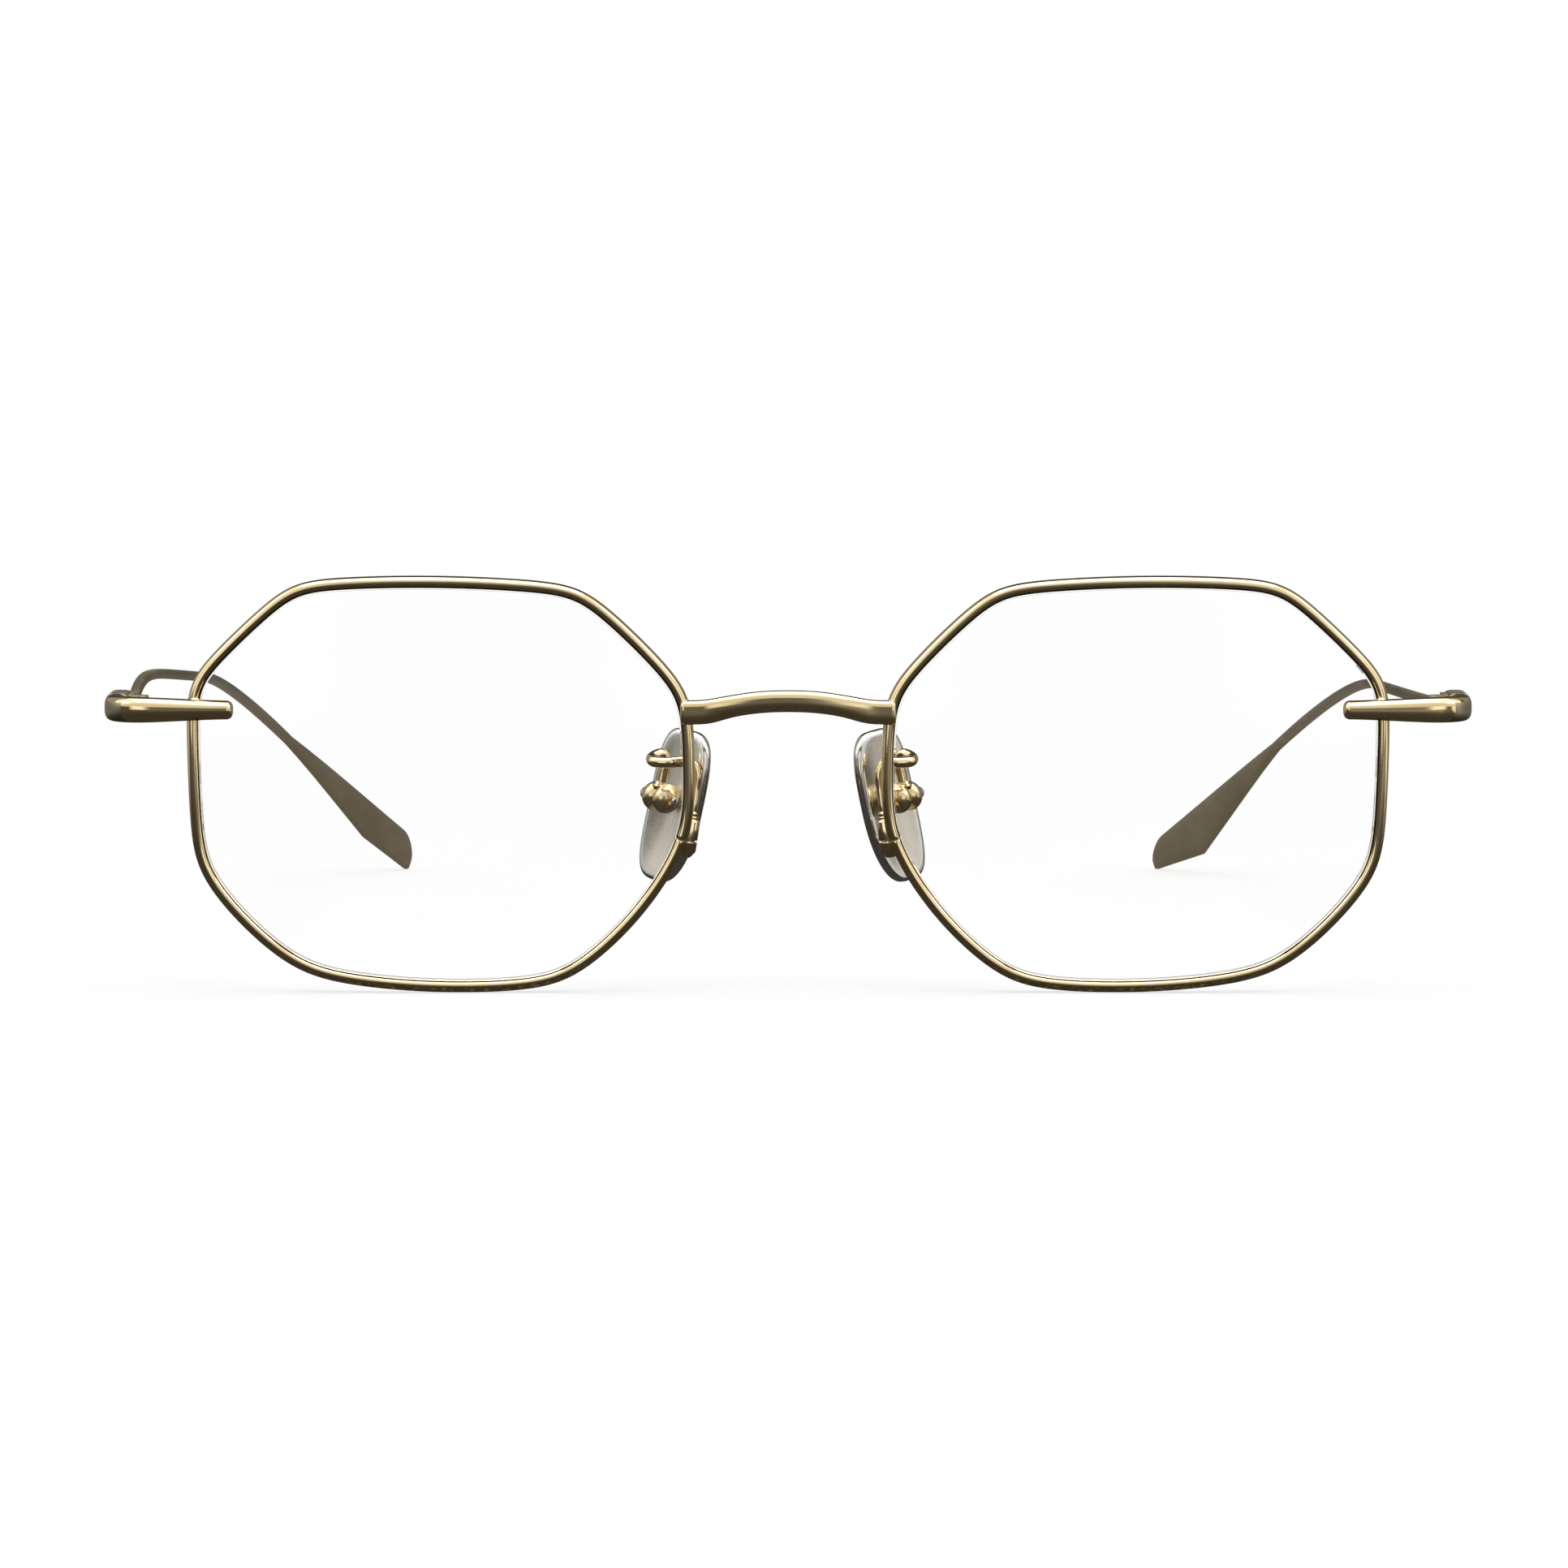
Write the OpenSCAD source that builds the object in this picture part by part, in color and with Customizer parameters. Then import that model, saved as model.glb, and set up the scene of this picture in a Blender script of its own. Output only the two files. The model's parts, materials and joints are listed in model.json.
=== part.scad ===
// Octagonal metal eyeglasses, standing open on a table.
// Front towards -Y, temples running to +Y, +Z up, millimetres.
// Left and right are the wearer's own, so the left side is at +X.

/* [Lens shape] */
// Space between the two lens openings, across the nose
lens_gap = 21.3; // [18:0.1:25]
// Distance from the lens centre to the temple side
reach_out = 24; // [22.5:0.1:25.5]
// Distance from the lens centre to the upper temple side
reach_up_out = 23.8; // [22.8:0.1:24.6]
// Distance from the lens centre to the top side
reach_up = 19.6; // [18.6:0.1:20.6]
// Distance from the lens centre to the upper nose side
reach_up_in = 23.1; // [22.2:0.1:24]
// Distance from the lens centre to the nose side
reach_in = 24.4; // [23.4:0.1:25.4]
// Distance from the lens centre to the lower nose side
reach_down_in = 22.4; // [21.6:0.1:23.2]
// Distance from the lens centre to the bottom side
reach_down = 19.7; // [18.8:0.1:20.6]
// Distance from the lens centre to the lower temple side
reach_down_out = 22.45; // [21.5:0.05:23.2]
// How sharp the eight corners are
corner_sharpness = 33; // [20:1:60]
// Radius that lens and rim are curved to, front to back
base_curve_r = 132; // [100:1:260]

/* [Rim] */
// Thickness of the rim wire, outwards
rim_t = 1.3; // [1.1:0.05:1.5]
// Depth of the rim wire, front to back
rim_d = 1.9; // [1.7:0.05:2.4]
// Depth of the lens groove
groove_d = 0.45; // [0.3:0.05:0.5]
// Width of the lens groove at its mouth
groove_w = 0.9; // [0.7:0.05:1.1]
// Width of the slit that the lock closes
slit_w = 0.2; // [0.1:0.05:0.4]
// Direction of the slit, seen from the lens centre
slit_at = 193; // [188:0.5:198]

/* [Lens] */
// Thickness of a lens
lens_t = 1.3; // [1.2:0.05:1.5]

/* [Bridge] */
// Half the width of the bridge
bridge_half = 10.8; // [10.5:0.1:11.1]
// Height of the bridge's ends above the lens centre
bridge_up = 7.2; // [6.2:0.1:8.2]
// Rise of the arch above the ends
bridge_rise = 1.2; // [0.6:0.1:2.2]
// Half the width of the arch
arch_half = 8; // [6.5:0.1:8.8]
// How far the arch stands forward of the ends
bridge_bow = 0.7; // [0:0.1:1.5]
// Height of the bridge at its ends
bridge_end_h = 2.45; // [1.8:0.05:2.8]
// Height of the bridge at its middle
bridge_mid_h = 2.2; // [1.6:0.05:2.6]
// Thickness of the bridge, front to back
bridge_t = 1.65; // [1.2:0.05:2]
// How deep the rim sits in the back of bridge and end pieces
seat_d = 0.25; // [0.1:0.05:0.4]

/* [End pieces] */
// How far the end pieces stand out beyond the rims
end_out = 8.55; // [8:0.05:11]
// How far the bar reaches in over the lens
bar_in = 3.35; // [2.8:0.05:4.5]
// Gap between the bar and the lens behind it
bar_off = 0.1; // [0.08:0.01:0.2]
// Height of the end pieces above the lens centre
end_up = 7.5; // [6.5:0.1:8.5]
// Height of the bar at its tip
bar_tip_h = 1.9; // [1.5:0.05:2.1]
// Rounding of the bar's tip
bar_tip_r = 0.65; // [0.4:0.05:0.8]
// Height of the bar at its corner
bar_h = 2.6; // [2.5:0.05:3]
// Thickness of the bar
bar_t = 2.2; // [2:0.05:2.4]
// Radius of the corner, at the middle of the bar
corner_r = 2.6; // [2:0.1:3]
// How far the seam to the temple lies behind the lens's front point
seam_back = 5.6; // [5:0.1:6.5]

/* [Hinges] */
// Radius of the hinge knuckles
knuckle_r = 0.95; // [0.85:0.05:1]
// Height of the middle knuckle
knuckle_mid_h = 0.8; // [0.7:0.05:0.9]
// Thickness of the hinge leaves
leaf_t = 0.5; // [0.4:0.05:0.6]
// Length of the hinge leaf on the temple
leaf_len = 3.4; // [2.5:0.1:4.2]
// Radius of the hinge screw
hinge_screw_r = 0.5; // [0.4:0.05:0.55]
// Radius of the hinge screw's head
hinge_head_r = 0.75; // [0.7:0.05:0.8]

/* [Temples] */
// Length of the block that keeps the bar's full section
block_full = 5.6; // [4:0.1:6.5]
// Length of a temple from its block to its tip, along the curve
temple_len = 132.5; // [122:0.5:142]
// Length of the block at the front of a temple
block_len = 8.4; // [7.5:0.1:10]
// Height of the temple wire
wire_h = 1.05; // [1:0.05:1.5]
// Thickness of the temple wire
wire_t = 1.1; // [0.9:0.05:1.3]
// How far the wire starts inwards of the block's outer side
wire_in = 2.1; // [1.9:0.1:2.4]
// Where the right temple starts to bend down
right_bend_at = 61; // [56:0.5:66]
// Where the left temple starts to bend down
left_bend_at = 57.5; // [53:0.5:63]
// How far the right wire climbs out of its block
right_rise = 3; // [0:0.1:3.2]
// How far the left wire climbs out of its block
left_rise = -0.5; // [-0.8:0.1:1.5]
// Length over which a wire climbs two thirds of its way
rise_len = 6; // [5:0.25:8]
// Length over which a temple bends
bend_len = 57.5; // [50:1:64]
// How far a temple's end bends down
bend_down = 30.5; // [26:0.5:36]
// How far a temple's end bends inwards
bend_in = 27; // [22:0.5:29]
// Inward lean of a temple from its block on
lean_in = 1.9; // [1:0.1:2.5]
// Length of the flat end of a temple
paddle_len = 30.5; // [27:0.5:34]
// How far the right flat end reaches above the curve
right_paddle_up = 3.3; // [2.4:0.1:3.5]
// How far the left flat end reaches above the curve
left_paddle_up = 2.6; // [2.2:0.1:3.2]
// How far the right flat end reaches below the curve
right_paddle_down = 1.7; // [1.4:0.1:3]
// How far the left flat end reaches below the curve
left_paddle_down = 3.5; // [2:0.1:3.8]
// Length of the slanting cut at the tip
cut_len = 10; // [8:0.5:13]
// Length of the rounded corner over the cut
tip_round = 3; // [2:0.25:4]
// Length over which the wire flattens
flatten_len = 16; // [10:1:20]
// Thickness of the flat end
paddle_t = 0.95; // [0.8:0.05:1.1]

/* [Rim locks] */
// Radius of the lock blocks
lock_r = 0.95; // [0.9:0.05:1]
// How far the lock's screw lies outwards of the rim's nose side
lock_in = 0.1; // [0.05:0.05:0.2]
// How far the lock's screw lies behind the rim
lock_back = 0.78; // [0.76:0.02:0.86]
// Lean of the lock from the vertical
lock_lean = 9; // [6:0.5:12]
// Height of the upper lock block
lock_up_h = 2.1; // [1.8:0.1:2.4]
// Height of the lower lock block
lock_down_h = 1.2; // [1:0.1:1.5]
// Radius of the lock screw
lock_screw_r = 0.42; // [0.35:0.01:0.45]
// Radius of the lock screw's head
lock_head_r = 0.75; // [0.6:0.05:0.85]

/* [Nose pads] */
// How far the right pad's screw is from the middle
right_pad_half = 12.9; // [12.6:0.1:13.4]
// How far the left pad's screw is from the middle
left_pad_half = 11.7; // [11.5:0.1:12.4]
// Height of a pad's screw below the lens centre
pad_low = 1.8; // [0.8:0.1:2.4]
// How far a pad's screw lies behind the lens's front point
pad_back = 7.3; // [6.8:0.1:8]
// Angle of a pad to the front, seen from above
pad_splay = 45; // [40:1:50]
// Angle of a pad to the vertical, seen from the front
pad_lean = 12; // [9:0.5:13]
// Height of a pad
pad_h = 15.7; // [14:0.1:16.5]
// Width of a pad
pad_w = 7.2; // [6.8:0.1:7.8]
// How far a pad's middle lies below its screw
pad_drop = 0.7; // [0.2:0.1:1]
// Thickness of a pad
pad_t = 1.2; // [1:0.05:1.6]
// Distance from the pad's screw to the pad
pad_off = 1.75; // [1.6:0.05:2]
// Radius of each lobe of a pad box
lobe_r = 1.5; // [1.4:0.05:1.6]
// Distance of each lobe from the middle of its box
lobe_at = 0.75; // [0.65:0.05:0.85]
// Thickness of the tang on a pad
tang_t = 0.85; // [0.7:0.05:0.95]
// Radius of the tang on a pad
tang_r = 0.85; // [0.75:0.05:0.9]
// Radius of a pad screw
pad_screw_r = 0.38; // [0.3:0.01:0.42]
// Radius of a pad screw's head
pad_head_r = 0.65; // [0.55:0.05:0.75]
// Radius of the pad arm's wire, at the curl
arm_r = 0.56; // [0.5:0.01:0.58]
// Radius of the pad arm's wire, at the rim
arm_foot_r = 0.42; // [0.36:0.01:0.5]

/* [Fits] */
// Gap that solder fills between brazed pieces
braze = 0.02; // [0.01:0.01:0.04]
// Radial clearance of a turning fit
running = 0.03; // [0.02:0.01:0.05]
// Gap between faces that turn past each other
slip = 0.06; // [0.04:0.01:0.1]
// Gap between lens and groove
lens_play = 0.04; // [0.03:0.01:0.08]

/* [Hidden] */
$fn = 48;

polished_gold = [0.80, 0.68, 0.42];
satin_gold = [0.42, 0.37, 0.27];
satin_steel = [0.62, 0.60, 0.56];
bright_steel = [0.78, 0.78, 0.78];
clear = [0.85, 0.92, 0.95, 0.35];

// Width and depth of the slots in the screws, and a length beyond any hole's own
driver_w = 0.2;
driver_d = 0.15;
through = 5;

// Rings of points round the rim, and points round each small sweep
rim_steps = 80;
tube_sides = 10;

function smooth(t) = let (c = max(0, min(1, t))) c * c * (3 - 2 * c);
function unit(v) = v / norm(v);
function power(v, p) = sign(v) * pow(abs(v), p);
// A value that never falls below nothing, rounded off where it would
function soft_floor(v, round_off) = (v + sqrt(v * v + round_off * round_off)) / 2;

// Skin over a row of rings with as many points each, closed by a fan at either end
module loft(rings) {
    count = len(rings);
    around = len(rings[0]);
    sides = [
        for (i = [0 : count - 2], j = [0 : around - 1])
            let (a = i * around + j, b = i * around + (j + 1) % around)
                each [[a, b, b + around], [a, b + around, a + around]]
    ];
    last = (count - 1) * around;
    ends = [
        for (j = [0 : around - 1])
            let (k = (j + 1) % around)
                each [[k, j, count * around], [last + j, last + k, count * around + 1]]
    ];
    polyhedron(
        points = concat([for (ring = rings) each ring], [mean(rings[0]), mean(rings[count - 1])]),
        faces = concat(sides, ends)
    );
}
function mean(points) = [for (i = [0 : 2]) [for (p = points) p[i]] * [for (p = points) 1] / len(points)];

// A ring of section points [a, b] round a centre
function ring_at(centre, a_axis, b_axis, section) = [
    for (p = section) centre + p[0] * a_axis + p[1] * b_axis
];

// Round section with flattened sides: 2 is an ellipse, more is squarer
function oval(half_a, half_b, squareness, count) = [
    for (i = [0 : count - 1])
        let (t = 360 * i / count)
            [half_a * power(cos(t), 2 / squareness), half_b * power(sin(t), 2 / squareness)]
];

// Draws the left side as it is, or the right side as its mirror image
module on_side(left) {
    if (left) children();
    else mirror([1, 0, 0]) children();
}

// The eight sides of a lens: direction from the centre, distance, and radius of the side's own bow
sides_of_lens = [
    [-2, reach_out, 370], [49.5, reach_up_out, 98], [91, reach_up, 145], [130, reach_up_in, 72],
    [178, reach_in, 2000], [235, reach_down_in, 33], [272, reach_down, 87], [300, reach_down_out, 37],
];
function side_r(side, t) =
    let (behind = side[2] - side[1], a = t - side[0])
        sqrt(pow(side[2], 2) - pow(behind * sin(a), 2)) - behind * cos(a);
function lens_r(t) =
    pow([for (side = sides_of_lens) pow(side_r(side, t) / 20, -corner_sharpness)] * [for (side = sides_of_lens) 1],
        -1 / corner_sharpness) * 20;
function lens_point(t) = lens_r(t) * [cos(t), sin(t)];
function lens_normal(t) = let (along = unit(lens_point(t + 0.5) - lens_point(t - 0.5))) [along[1], -along[0]];
// How far a point of the lens lies behind the lens's middle
function sag(p) = base_curve_r - sqrt(pow(base_curve_r, 2) - p * p);

outline_turns = [for (i = [0 : 359]) i];
nose_reach = -min([for (t = outline_turns) lens_point(t)[0]]);
lens_x = lens_gap / 2 + nose_reach;
rim_lens_z = rim_t - min([for (t = outline_turns) lens_point(t)[1]]);

// Rim section: outwards from the lens opening, then back from the middle of the rim
function rim_section(grow, groove) =
    let (
        low = -grow,
        high = rim_t + grow,
        back = rim_d / 2 + grow,
        round_in = 0.25,
        round_out = 0.4
    )
        concat(
            [[low, -back + round_in]],
            groove ? [[low, -groove_w / 2], [groove_d, 0], [low, groove_w / 2]] : [],
            [
                [low, back - round_in], [low + round_in, back],
                [high - round_out, back], [high, back - round_out],
                [high, -back + round_out], [high - round_out, -back], [low + round_in, -back],
            ]
        );
function rim_ring(t, section) =
    let (p = lens_point(t), n = lens_normal(t), y = sag(p + n * rim_t / 2))
        [for (s = section) [lens_x + p[0] + n[0] * s[0], y + s[1], rim_lens_z + p[1] + n[1] * s[0]]];

module rim_stretch(from, to, steps, grow, groove) {
    section = rim_section(grow, groove);
    loft([for (i = [0 : steps]) rim_ring(from + (to - from) * i / steps, section)]);
}

// A stretch of the rim with room for solder, to cut a seat: its middle and half its length, as angles
module rim_at(turn, half_turn) {
    rim_stretch(turn - half_turn, turn + half_turn, 8, braze, false);
}
seat_turn = 14;
lock_turn = 9;

// The opening angle of half the slit, seen from the lens centre
half_slit = slit_w / 2 / lens_r(slit_at) * 180 / PI;

module rim(left) {
    color(polished_gold)
        placed(left) rim_stretch(slit_at + half_slit, slit_at + 360 - half_slit, rim_steps, 0, true);
}

// Lens outline moved outwards by a distance, at a depth given beside the rim's own
function lens_ring(out, back, follow) = [
    for (i = [0 : rim_steps - 1])
        let (t = slit_at + 360 * i / rim_steps, p = lens_point(t), n = lens_normal(t))
            [
                lens_x + p[0] + n[0] * out,
                back + (follow ? sag(p + n * rim_t / 2) : 0),
                rim_lens_z + p[1] + n[1] * out,
            ]
];

module lens(left) {
    edge = groove_w / 2 * (1 - lens_play / groove_d) - lens_play;
    color(clear)
        placed(left) difference() {
            intersection() {
                loft([
                    lens_ring(-lens_play, -2 * through, false),
                    lens_ring(-lens_play, -edge, true),
                    lens_ring(groove_d - 2 * lens_play, 0, true),
                    lens_ring(-lens_play, edge, true),
                    lens_ring(-lens_play, 2 * through, false),
                ]);
                translate([lens_x, base_curve_r, rim_lens_z]) sphere(r = base_curve_r + lens_t / 2, $fn = 180);
            }
            translate([lens_x, base_curve_r, rim_lens_z]) sphere(r = base_curve_r - lens_t / 2, $fn = 180);
        }
}

// Bridge and end pieces lie over the front of the rims
function rim_turn_at(up, inner) = inner ? 180 - asin(up / reach_in) : asin(up / reach_out);
function rim_front(up, inner) = sag(lens_point(rim_turn_at(up, inner))) - rim_d / 2;

bridge_z = rim_lens_z + bridge_up;
bridge_y = rim_front(bridge_up, true) + seat_d - bridge_t / 2;
bridge_steps = 36;
// Share of the arch's rise at a place along the bridge
function arch_share(x) = soft_floor(1 - pow(abs(x) / arch_half, 2.2), 0.12);
function bridge_middle(x) = [
    x,
    bridge_y - bridge_bow * arch_share(x),
    bridge_z + bridge_rise * arch_share(x),
];
// Flat at the back and rounded at the front, with a flatter end
function bridge_section(x) =
    let (h = bridge_end_h + (bridge_mid_h - bridge_end_h) * smooth(1.4 * arch_share(x)))
        [
            for (p = oval(bridge_t / 2, h / 2, 2.6, 14))
                [p[0] > 0 ? 0.86 * p[0] + 0.14 * bridge_t / 2 : p[0], p[1]]
        ];

module bridge() {
    color(polished_gold)
        placed(true) difference() {
            loft([
                for (i = [0 : bridge_steps])
                    let (
                        x = bridge_half * (2 * i / bridge_steps - 1),
                        along = unit(bridge_middle(x + 0.05) - bridge_middle(x - 0.05)),
                        up = unit([-along[2], 0, along[0]]),
                        back = cross(up, along)
                    )
                        ring_at(bridge_middle(x), -back, up, bridge_section(x))
            ]);
            for (turn = [0, 1])
                mirror([turn, 0, 0]) rim_at(rim_turn_at(bridge_up, true), seat_turn);
        }
}

end_z = rim_lens_z + end_up;
front_half = lens_x + reach_out + rim_t + end_out;
end_x = front_half - bar_t / 2;
bar_y = rim_front(end_up, false) + seat_d - bar_t / 2;
bar_inner_x = lens_x + reach_out - bar_in;
bar_run = end_x - corner_r - bar_inner_x;
corner_run = corner_r * PI / 2;
arm_run = seam_back - bar_y - corner_r;
bar_total = bar_run + corner_run + arm_run;
// Middle of the bar, and its direction, at a distance from its tip
function bar_turn(s) = max(0, min(90, (s - bar_run) / corner_run * 90));
function bar_middle(s) =
    s < bar_run ? [bar_inner_x + s, bar_y, end_z]
    : s < bar_run + corner_run
        ? [end_x - corner_r + corner_r * sin(bar_turn(s)), bar_y + corner_r * (1 - cos(bar_turn(s))), end_z]
        : [end_x, bar_y + corner_r + s - bar_run - corner_run, end_z];
// The bar's tip is rounded, its height grows to the corner, and its back keeps off the lens
function bar_back(s) =
    let (
        over_lens = sag([bar_inner_x + s - lens_x, end_up - bar_tip_h / 2]) - lens_t / 2 - bar_off,
        seat = smooth((s - rim_edge_run) / 0.3)
    )
        (over_lens - bar_y) * (1 - seat) + bar_t / 2 * seat;
function bar_section(s) =
    let (
        h = bar_tip_h + (bar_h - bar_tip_h) * smooth(s / (bar_run + corner_run * 0.4)),
        nose = 1 - bar_tip_r / (bar_tip_h / 2) * (1 - sqrt(1 - pow(1 - min(1, s / bar_tip_r), 2)))
    )
        [
            for (p = oval(1, 1, 2.8, 14))
                [p[0] * (p[0] > 0 ? bar_t / 2 * nose : bar_back(s)), p[1] * h / 2 * nose]
        ];
// How far along the bar the lens opening ends
rim_edge_run = lens_x + lens_point(rim_turn_at(end_up, false))[0] - bar_inner_x;
bar_places = concat(
    [0, 0.3 * bar_tip_r, bar_tip_r, 2, rim_edge_run, rim_edge_run + 0.3],
    [for (i = [1 : 3]) rim_edge_run + 0.3 + (bar_run - rim_edge_run - 0.3) * i / 3],
    [for (i = [1 : 8]) bar_run + corner_run * i / 8],
    [bar_total]
);

module end_piece(left) {
    color(polished_gold)
        placed(left) difference() {
            loft([
                for (s = bar_places)
                    let (out = [sin(bar_turn(s)), -cos(bar_turn(s)), 0])
                        ring_at(bar_middle(s), out, [0, 0, 1], bar_section(s))
            ]);
            rim_at(rim_turn_at(end_up, false), seat_turn);
        }
}

// The hinge lies against the inside of end piece and temple block, clear of what turns past it
knuckle_off = 0.25;
inside_x = front_half - bar_t;
axis_x = inside_x - knuckle_r - knuckle_off;
axis_y = seam_back;
seam_gap = 0.1;
leaf_x = inside_x - braze - leaf_t;
leaf_h = bar_h - 0.3;
leaf_gap = knuckle_r + 0.2;
// The front leaf ends where the bar starts to bend
front_leaf_len = arm_run - leaf_gap;
foot_len = leaf_gap - knuckle_off + 0.3;

module hinge_front(left) {
    color(polished_gold)
        placed(left) difference() {
            union() {
                translate([leaf_x, axis_y - leaf_gap - front_leaf_len, end_z - leaf_h / 2])
                    cube([leaf_t, front_leaf_len, leaf_h]);
                for (turn = [0, 1])
                    translate([0, 0, end_z]) mirror([0, 0, turn])
                        translate([axis_x, axis_y, knuckle_mid_h / 2 + slip]) {
                            cylinder(r = knuckle_r, h = leaf_h / 2 - knuckle_mid_h / 2 - slip);
                            translate([0, -knuckle_off - foot_len, 0])
                                cube([
                                    leaf_x + leaf_t - axis_x,
                                    foot_len,
                                    leaf_h / 2 - knuckle_mid_h / 2 - slip,
                                ]);
                        }
            }
            translate([axis_x, axis_y, end_z - leaf_h]) cylinder(r = hinge_screw_r + braze, h = 2 * leaf_h);
            translate([axis_x, axis_y, end_z + leaf_h / 2 - hinge_head_h])
                cylinder(r = hinge_head_r + braze, h = leaf_h);
        }
}

module hinge_back(left) {
    color(satin_gold)
        placed(left) difference() {
            translate([0, axis_y, end_z]) {
                translate([axis_x, 0, -knuckle_mid_h / 2]) {
                    cylinder(r = knuckle_r, h = knuckle_mid_h);
                    translate([0, knuckle_off, 0]) cube([leaf_x + leaf_t - axis_x, foot_len, knuckle_mid_h]);
                }
                translate([leaf_x, leaf_gap, -leaf_h / 2]) cube([leaf_t, leaf_len, leaf_h]);
            }
            translate([axis_x, axis_y, end_z - leaf_h])
                cylinder(r = hinge_screw_r + running, h = 2 * leaf_h);
        }
}

hinge_head_h = 0.35;
module hinge_screw(left) {
    color(polished_gold)
        placed(left) translate([axis_x, axis_y, end_z - leaf_h / 2]) difference() {
            union() {
                cylinder(r = hinge_screw_r, h = leaf_h);
                translate([0, 0, leaf_h - hinge_head_h + braze]) cylinder(r = hinge_head_r, h = hinge_head_h);
            }
            translate([-hinge_head_r, -driver_w / 2, leaf_h + braze - driver_d])
                cube([2 * hinge_head_r, driver_w, through]);
        }
}

// The temple: directions along the curve, then places by adding them up
temple_steps = 46;
step_len = temple_len / temple_steps;
wire_x = front_half - wire_in;
block_end_y = seam_back + seam_gap + block_len;
function bend_share(s, bend_at) = smooth((s - bend_at) / bend_len);
function lean_at(s, bend_at) = lean_in + bend_in * bend_share(s, bend_at);
function drop_at(s, bend_at) = bend_down * bend_share(s, bend_at);
function heading(s, bend_at) = [
    -sin(lean_at(s, bend_at)) * cos(drop_at(s, bend_at)),
    cos(lean_at(s, bend_at)) * cos(drop_at(s, bend_at)),
    -sin(drop_at(s, bend_at)),
];
function level_path(bend_at) = [
    for (
        i = 0, p = [0, 0, 0];
        i <= temple_steps;
        p = p + step_len * heading((i + 0.5) * step_len, bend_at), i = i + 1
    ) p
];
function climbed(path, rise) = [
    for (i = [0 : temple_steps]) path[i] + [0, 0, rise * (1 - exp(-i * step_len / rise_len))]
];
// Tilt that lands the tip on the table
function landing(tip) = -asin(end_z / norm([tip[1], tip[2]])) - atan2(tip[2], tip[1]);
function tilted(p, a) = [p[0], p[1] * cos(a) - p[2] * sin(a), p[1] * sin(a) + p[2] * cos(a)];
function temple_path(left) =
    let (
        path = climbed(level_path(left ? left_bend_at : right_bend_at), left ? left_rise : right_rise),
        a = landing(path[temple_steps] + tip_low * [0, sin(bend_down), cos(bend_down)])
    )
        [for (p = path) tilted(p, a) + [wire_x, block_end_y, end_z]];

// The lowest corner of the tip, below the curve's end
tip_low = -0.3;
paddle_at = temple_len - paddle_len;
// Half width above and below the curve at a distance along the temple
function upper_half(s, reach) =
    let (d = s - paddle_at, flare = wire_h / 2 + (reach - wire_h / 2) * d / (paddle_len - tip_round))
        d < 0 ? wire_h / 2
        : d < paddle_len - tip_round ? flare
        : reach * sqrt(1 - pow((d - paddle_len + tip_round) / (1.1 * tip_round), 2));
function lower_half(s, reach) =
    let (d = s - paddle_at, straight = paddle_len - cut_len)
        d < 0 ? wire_h / 2
        : d < straight ? wire_h / 2 + (reach - wire_h / 2) * d / straight
        : reach - (reach + tip_low) * (d - straight) / cut_len;
function flat_half(s) = wire_t / 2 + (paddle_t - wire_t) / 2 * smooth((s - paddle_at) / flatten_len + 0.5);
function temple_ring(path, left, s) =
    let (
        i = min(temple_steps - 1, floor(s / step_len)),
        f = s / step_len - i,
        centre = path[i] * (1 - f) + path[i + 1] * f,
        before = path[max(0, round(s / step_len) - 1)],
        after = path[min(temple_steps, round(s / step_len) + 1)],
        along = unit(after - before),
        side = unit(cross(along, [0, 0, 1])),
        up = cross(side, along),
        top = upper_half(s, left ? left_paddle_up : right_paddle_up),
        low = lower_half(s, left ? left_paddle_down : right_paddle_down)
    )
        ring_at(centre + up * (top - low) / 2, side, up, oval(flat_half(s), (top + low) / 2, 3, tube_sides));
tip_places = [for (share = [1, 0.6, 0.3, 0.1, 0]) temple_len - tip_round * share];
// Places along the temple, closer where the wire climbs and at the tip
climb_end = 3 * rise_len;
temple_places = concat(
    [for (i = [1 : 6]) climb_end * i / 6],
    [for (i = [1 : 20]) climb_end + (paddle_at - climb_end) * i / 20],
    [for (i = [1 : 4]) paddle_at + (paddle_len - cut_len) * i / 4],
    [temple_len - (cut_len + tip_round) / 2],
    tip_places
);
// The block in front of the wire, narrowing to it in its last part
function block_ring(d) =
    let (
        f = smooth((d - block_full) / (block_len - block_full)),
        half_w = bar_t / 2 * (1 - f) + wire_t / 2 * f,
        half_h = bar_h / 2 * (1 - f) + wire_h / 2 * f,
        x = end_x * (1 - f) + wire_x * f
    )
        ring_at([x, seam_back + seam_gap + d, end_z], [1, 0, 0], [0, 0, 1],
            oval(half_w, half_h, 3, tube_sides));

module temple(left) {
    path = temple_path(left);
    color(satin_gold)
        placed(left)
            loft(concat(
                [block_ring(0)],
                [for (i = [0 : 4]) block_ring(block_full + (block_len - block_full) * i / 4.6)],
                [for (s = temple_places) temple_ring(path, left, s)]
            ));
}

// The lock stands along the rim where the rim is slit
slit_point = lens_point(slit_at);
slit_normal = lens_normal(slit_at);
lock_place = [
    lens_x + slit_point[0] + slit_normal[0] * (rim_t + lock_in),
    sag(slit_point) + rim_d / 2 + lock_back,
    rim_lens_z + slit_point[1] + slit_normal[1] * (rim_t + lock_in),
];
module at_lock() {
    translate(lock_place) rotate([0, -lock_lean, 0]) children();
}

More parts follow.
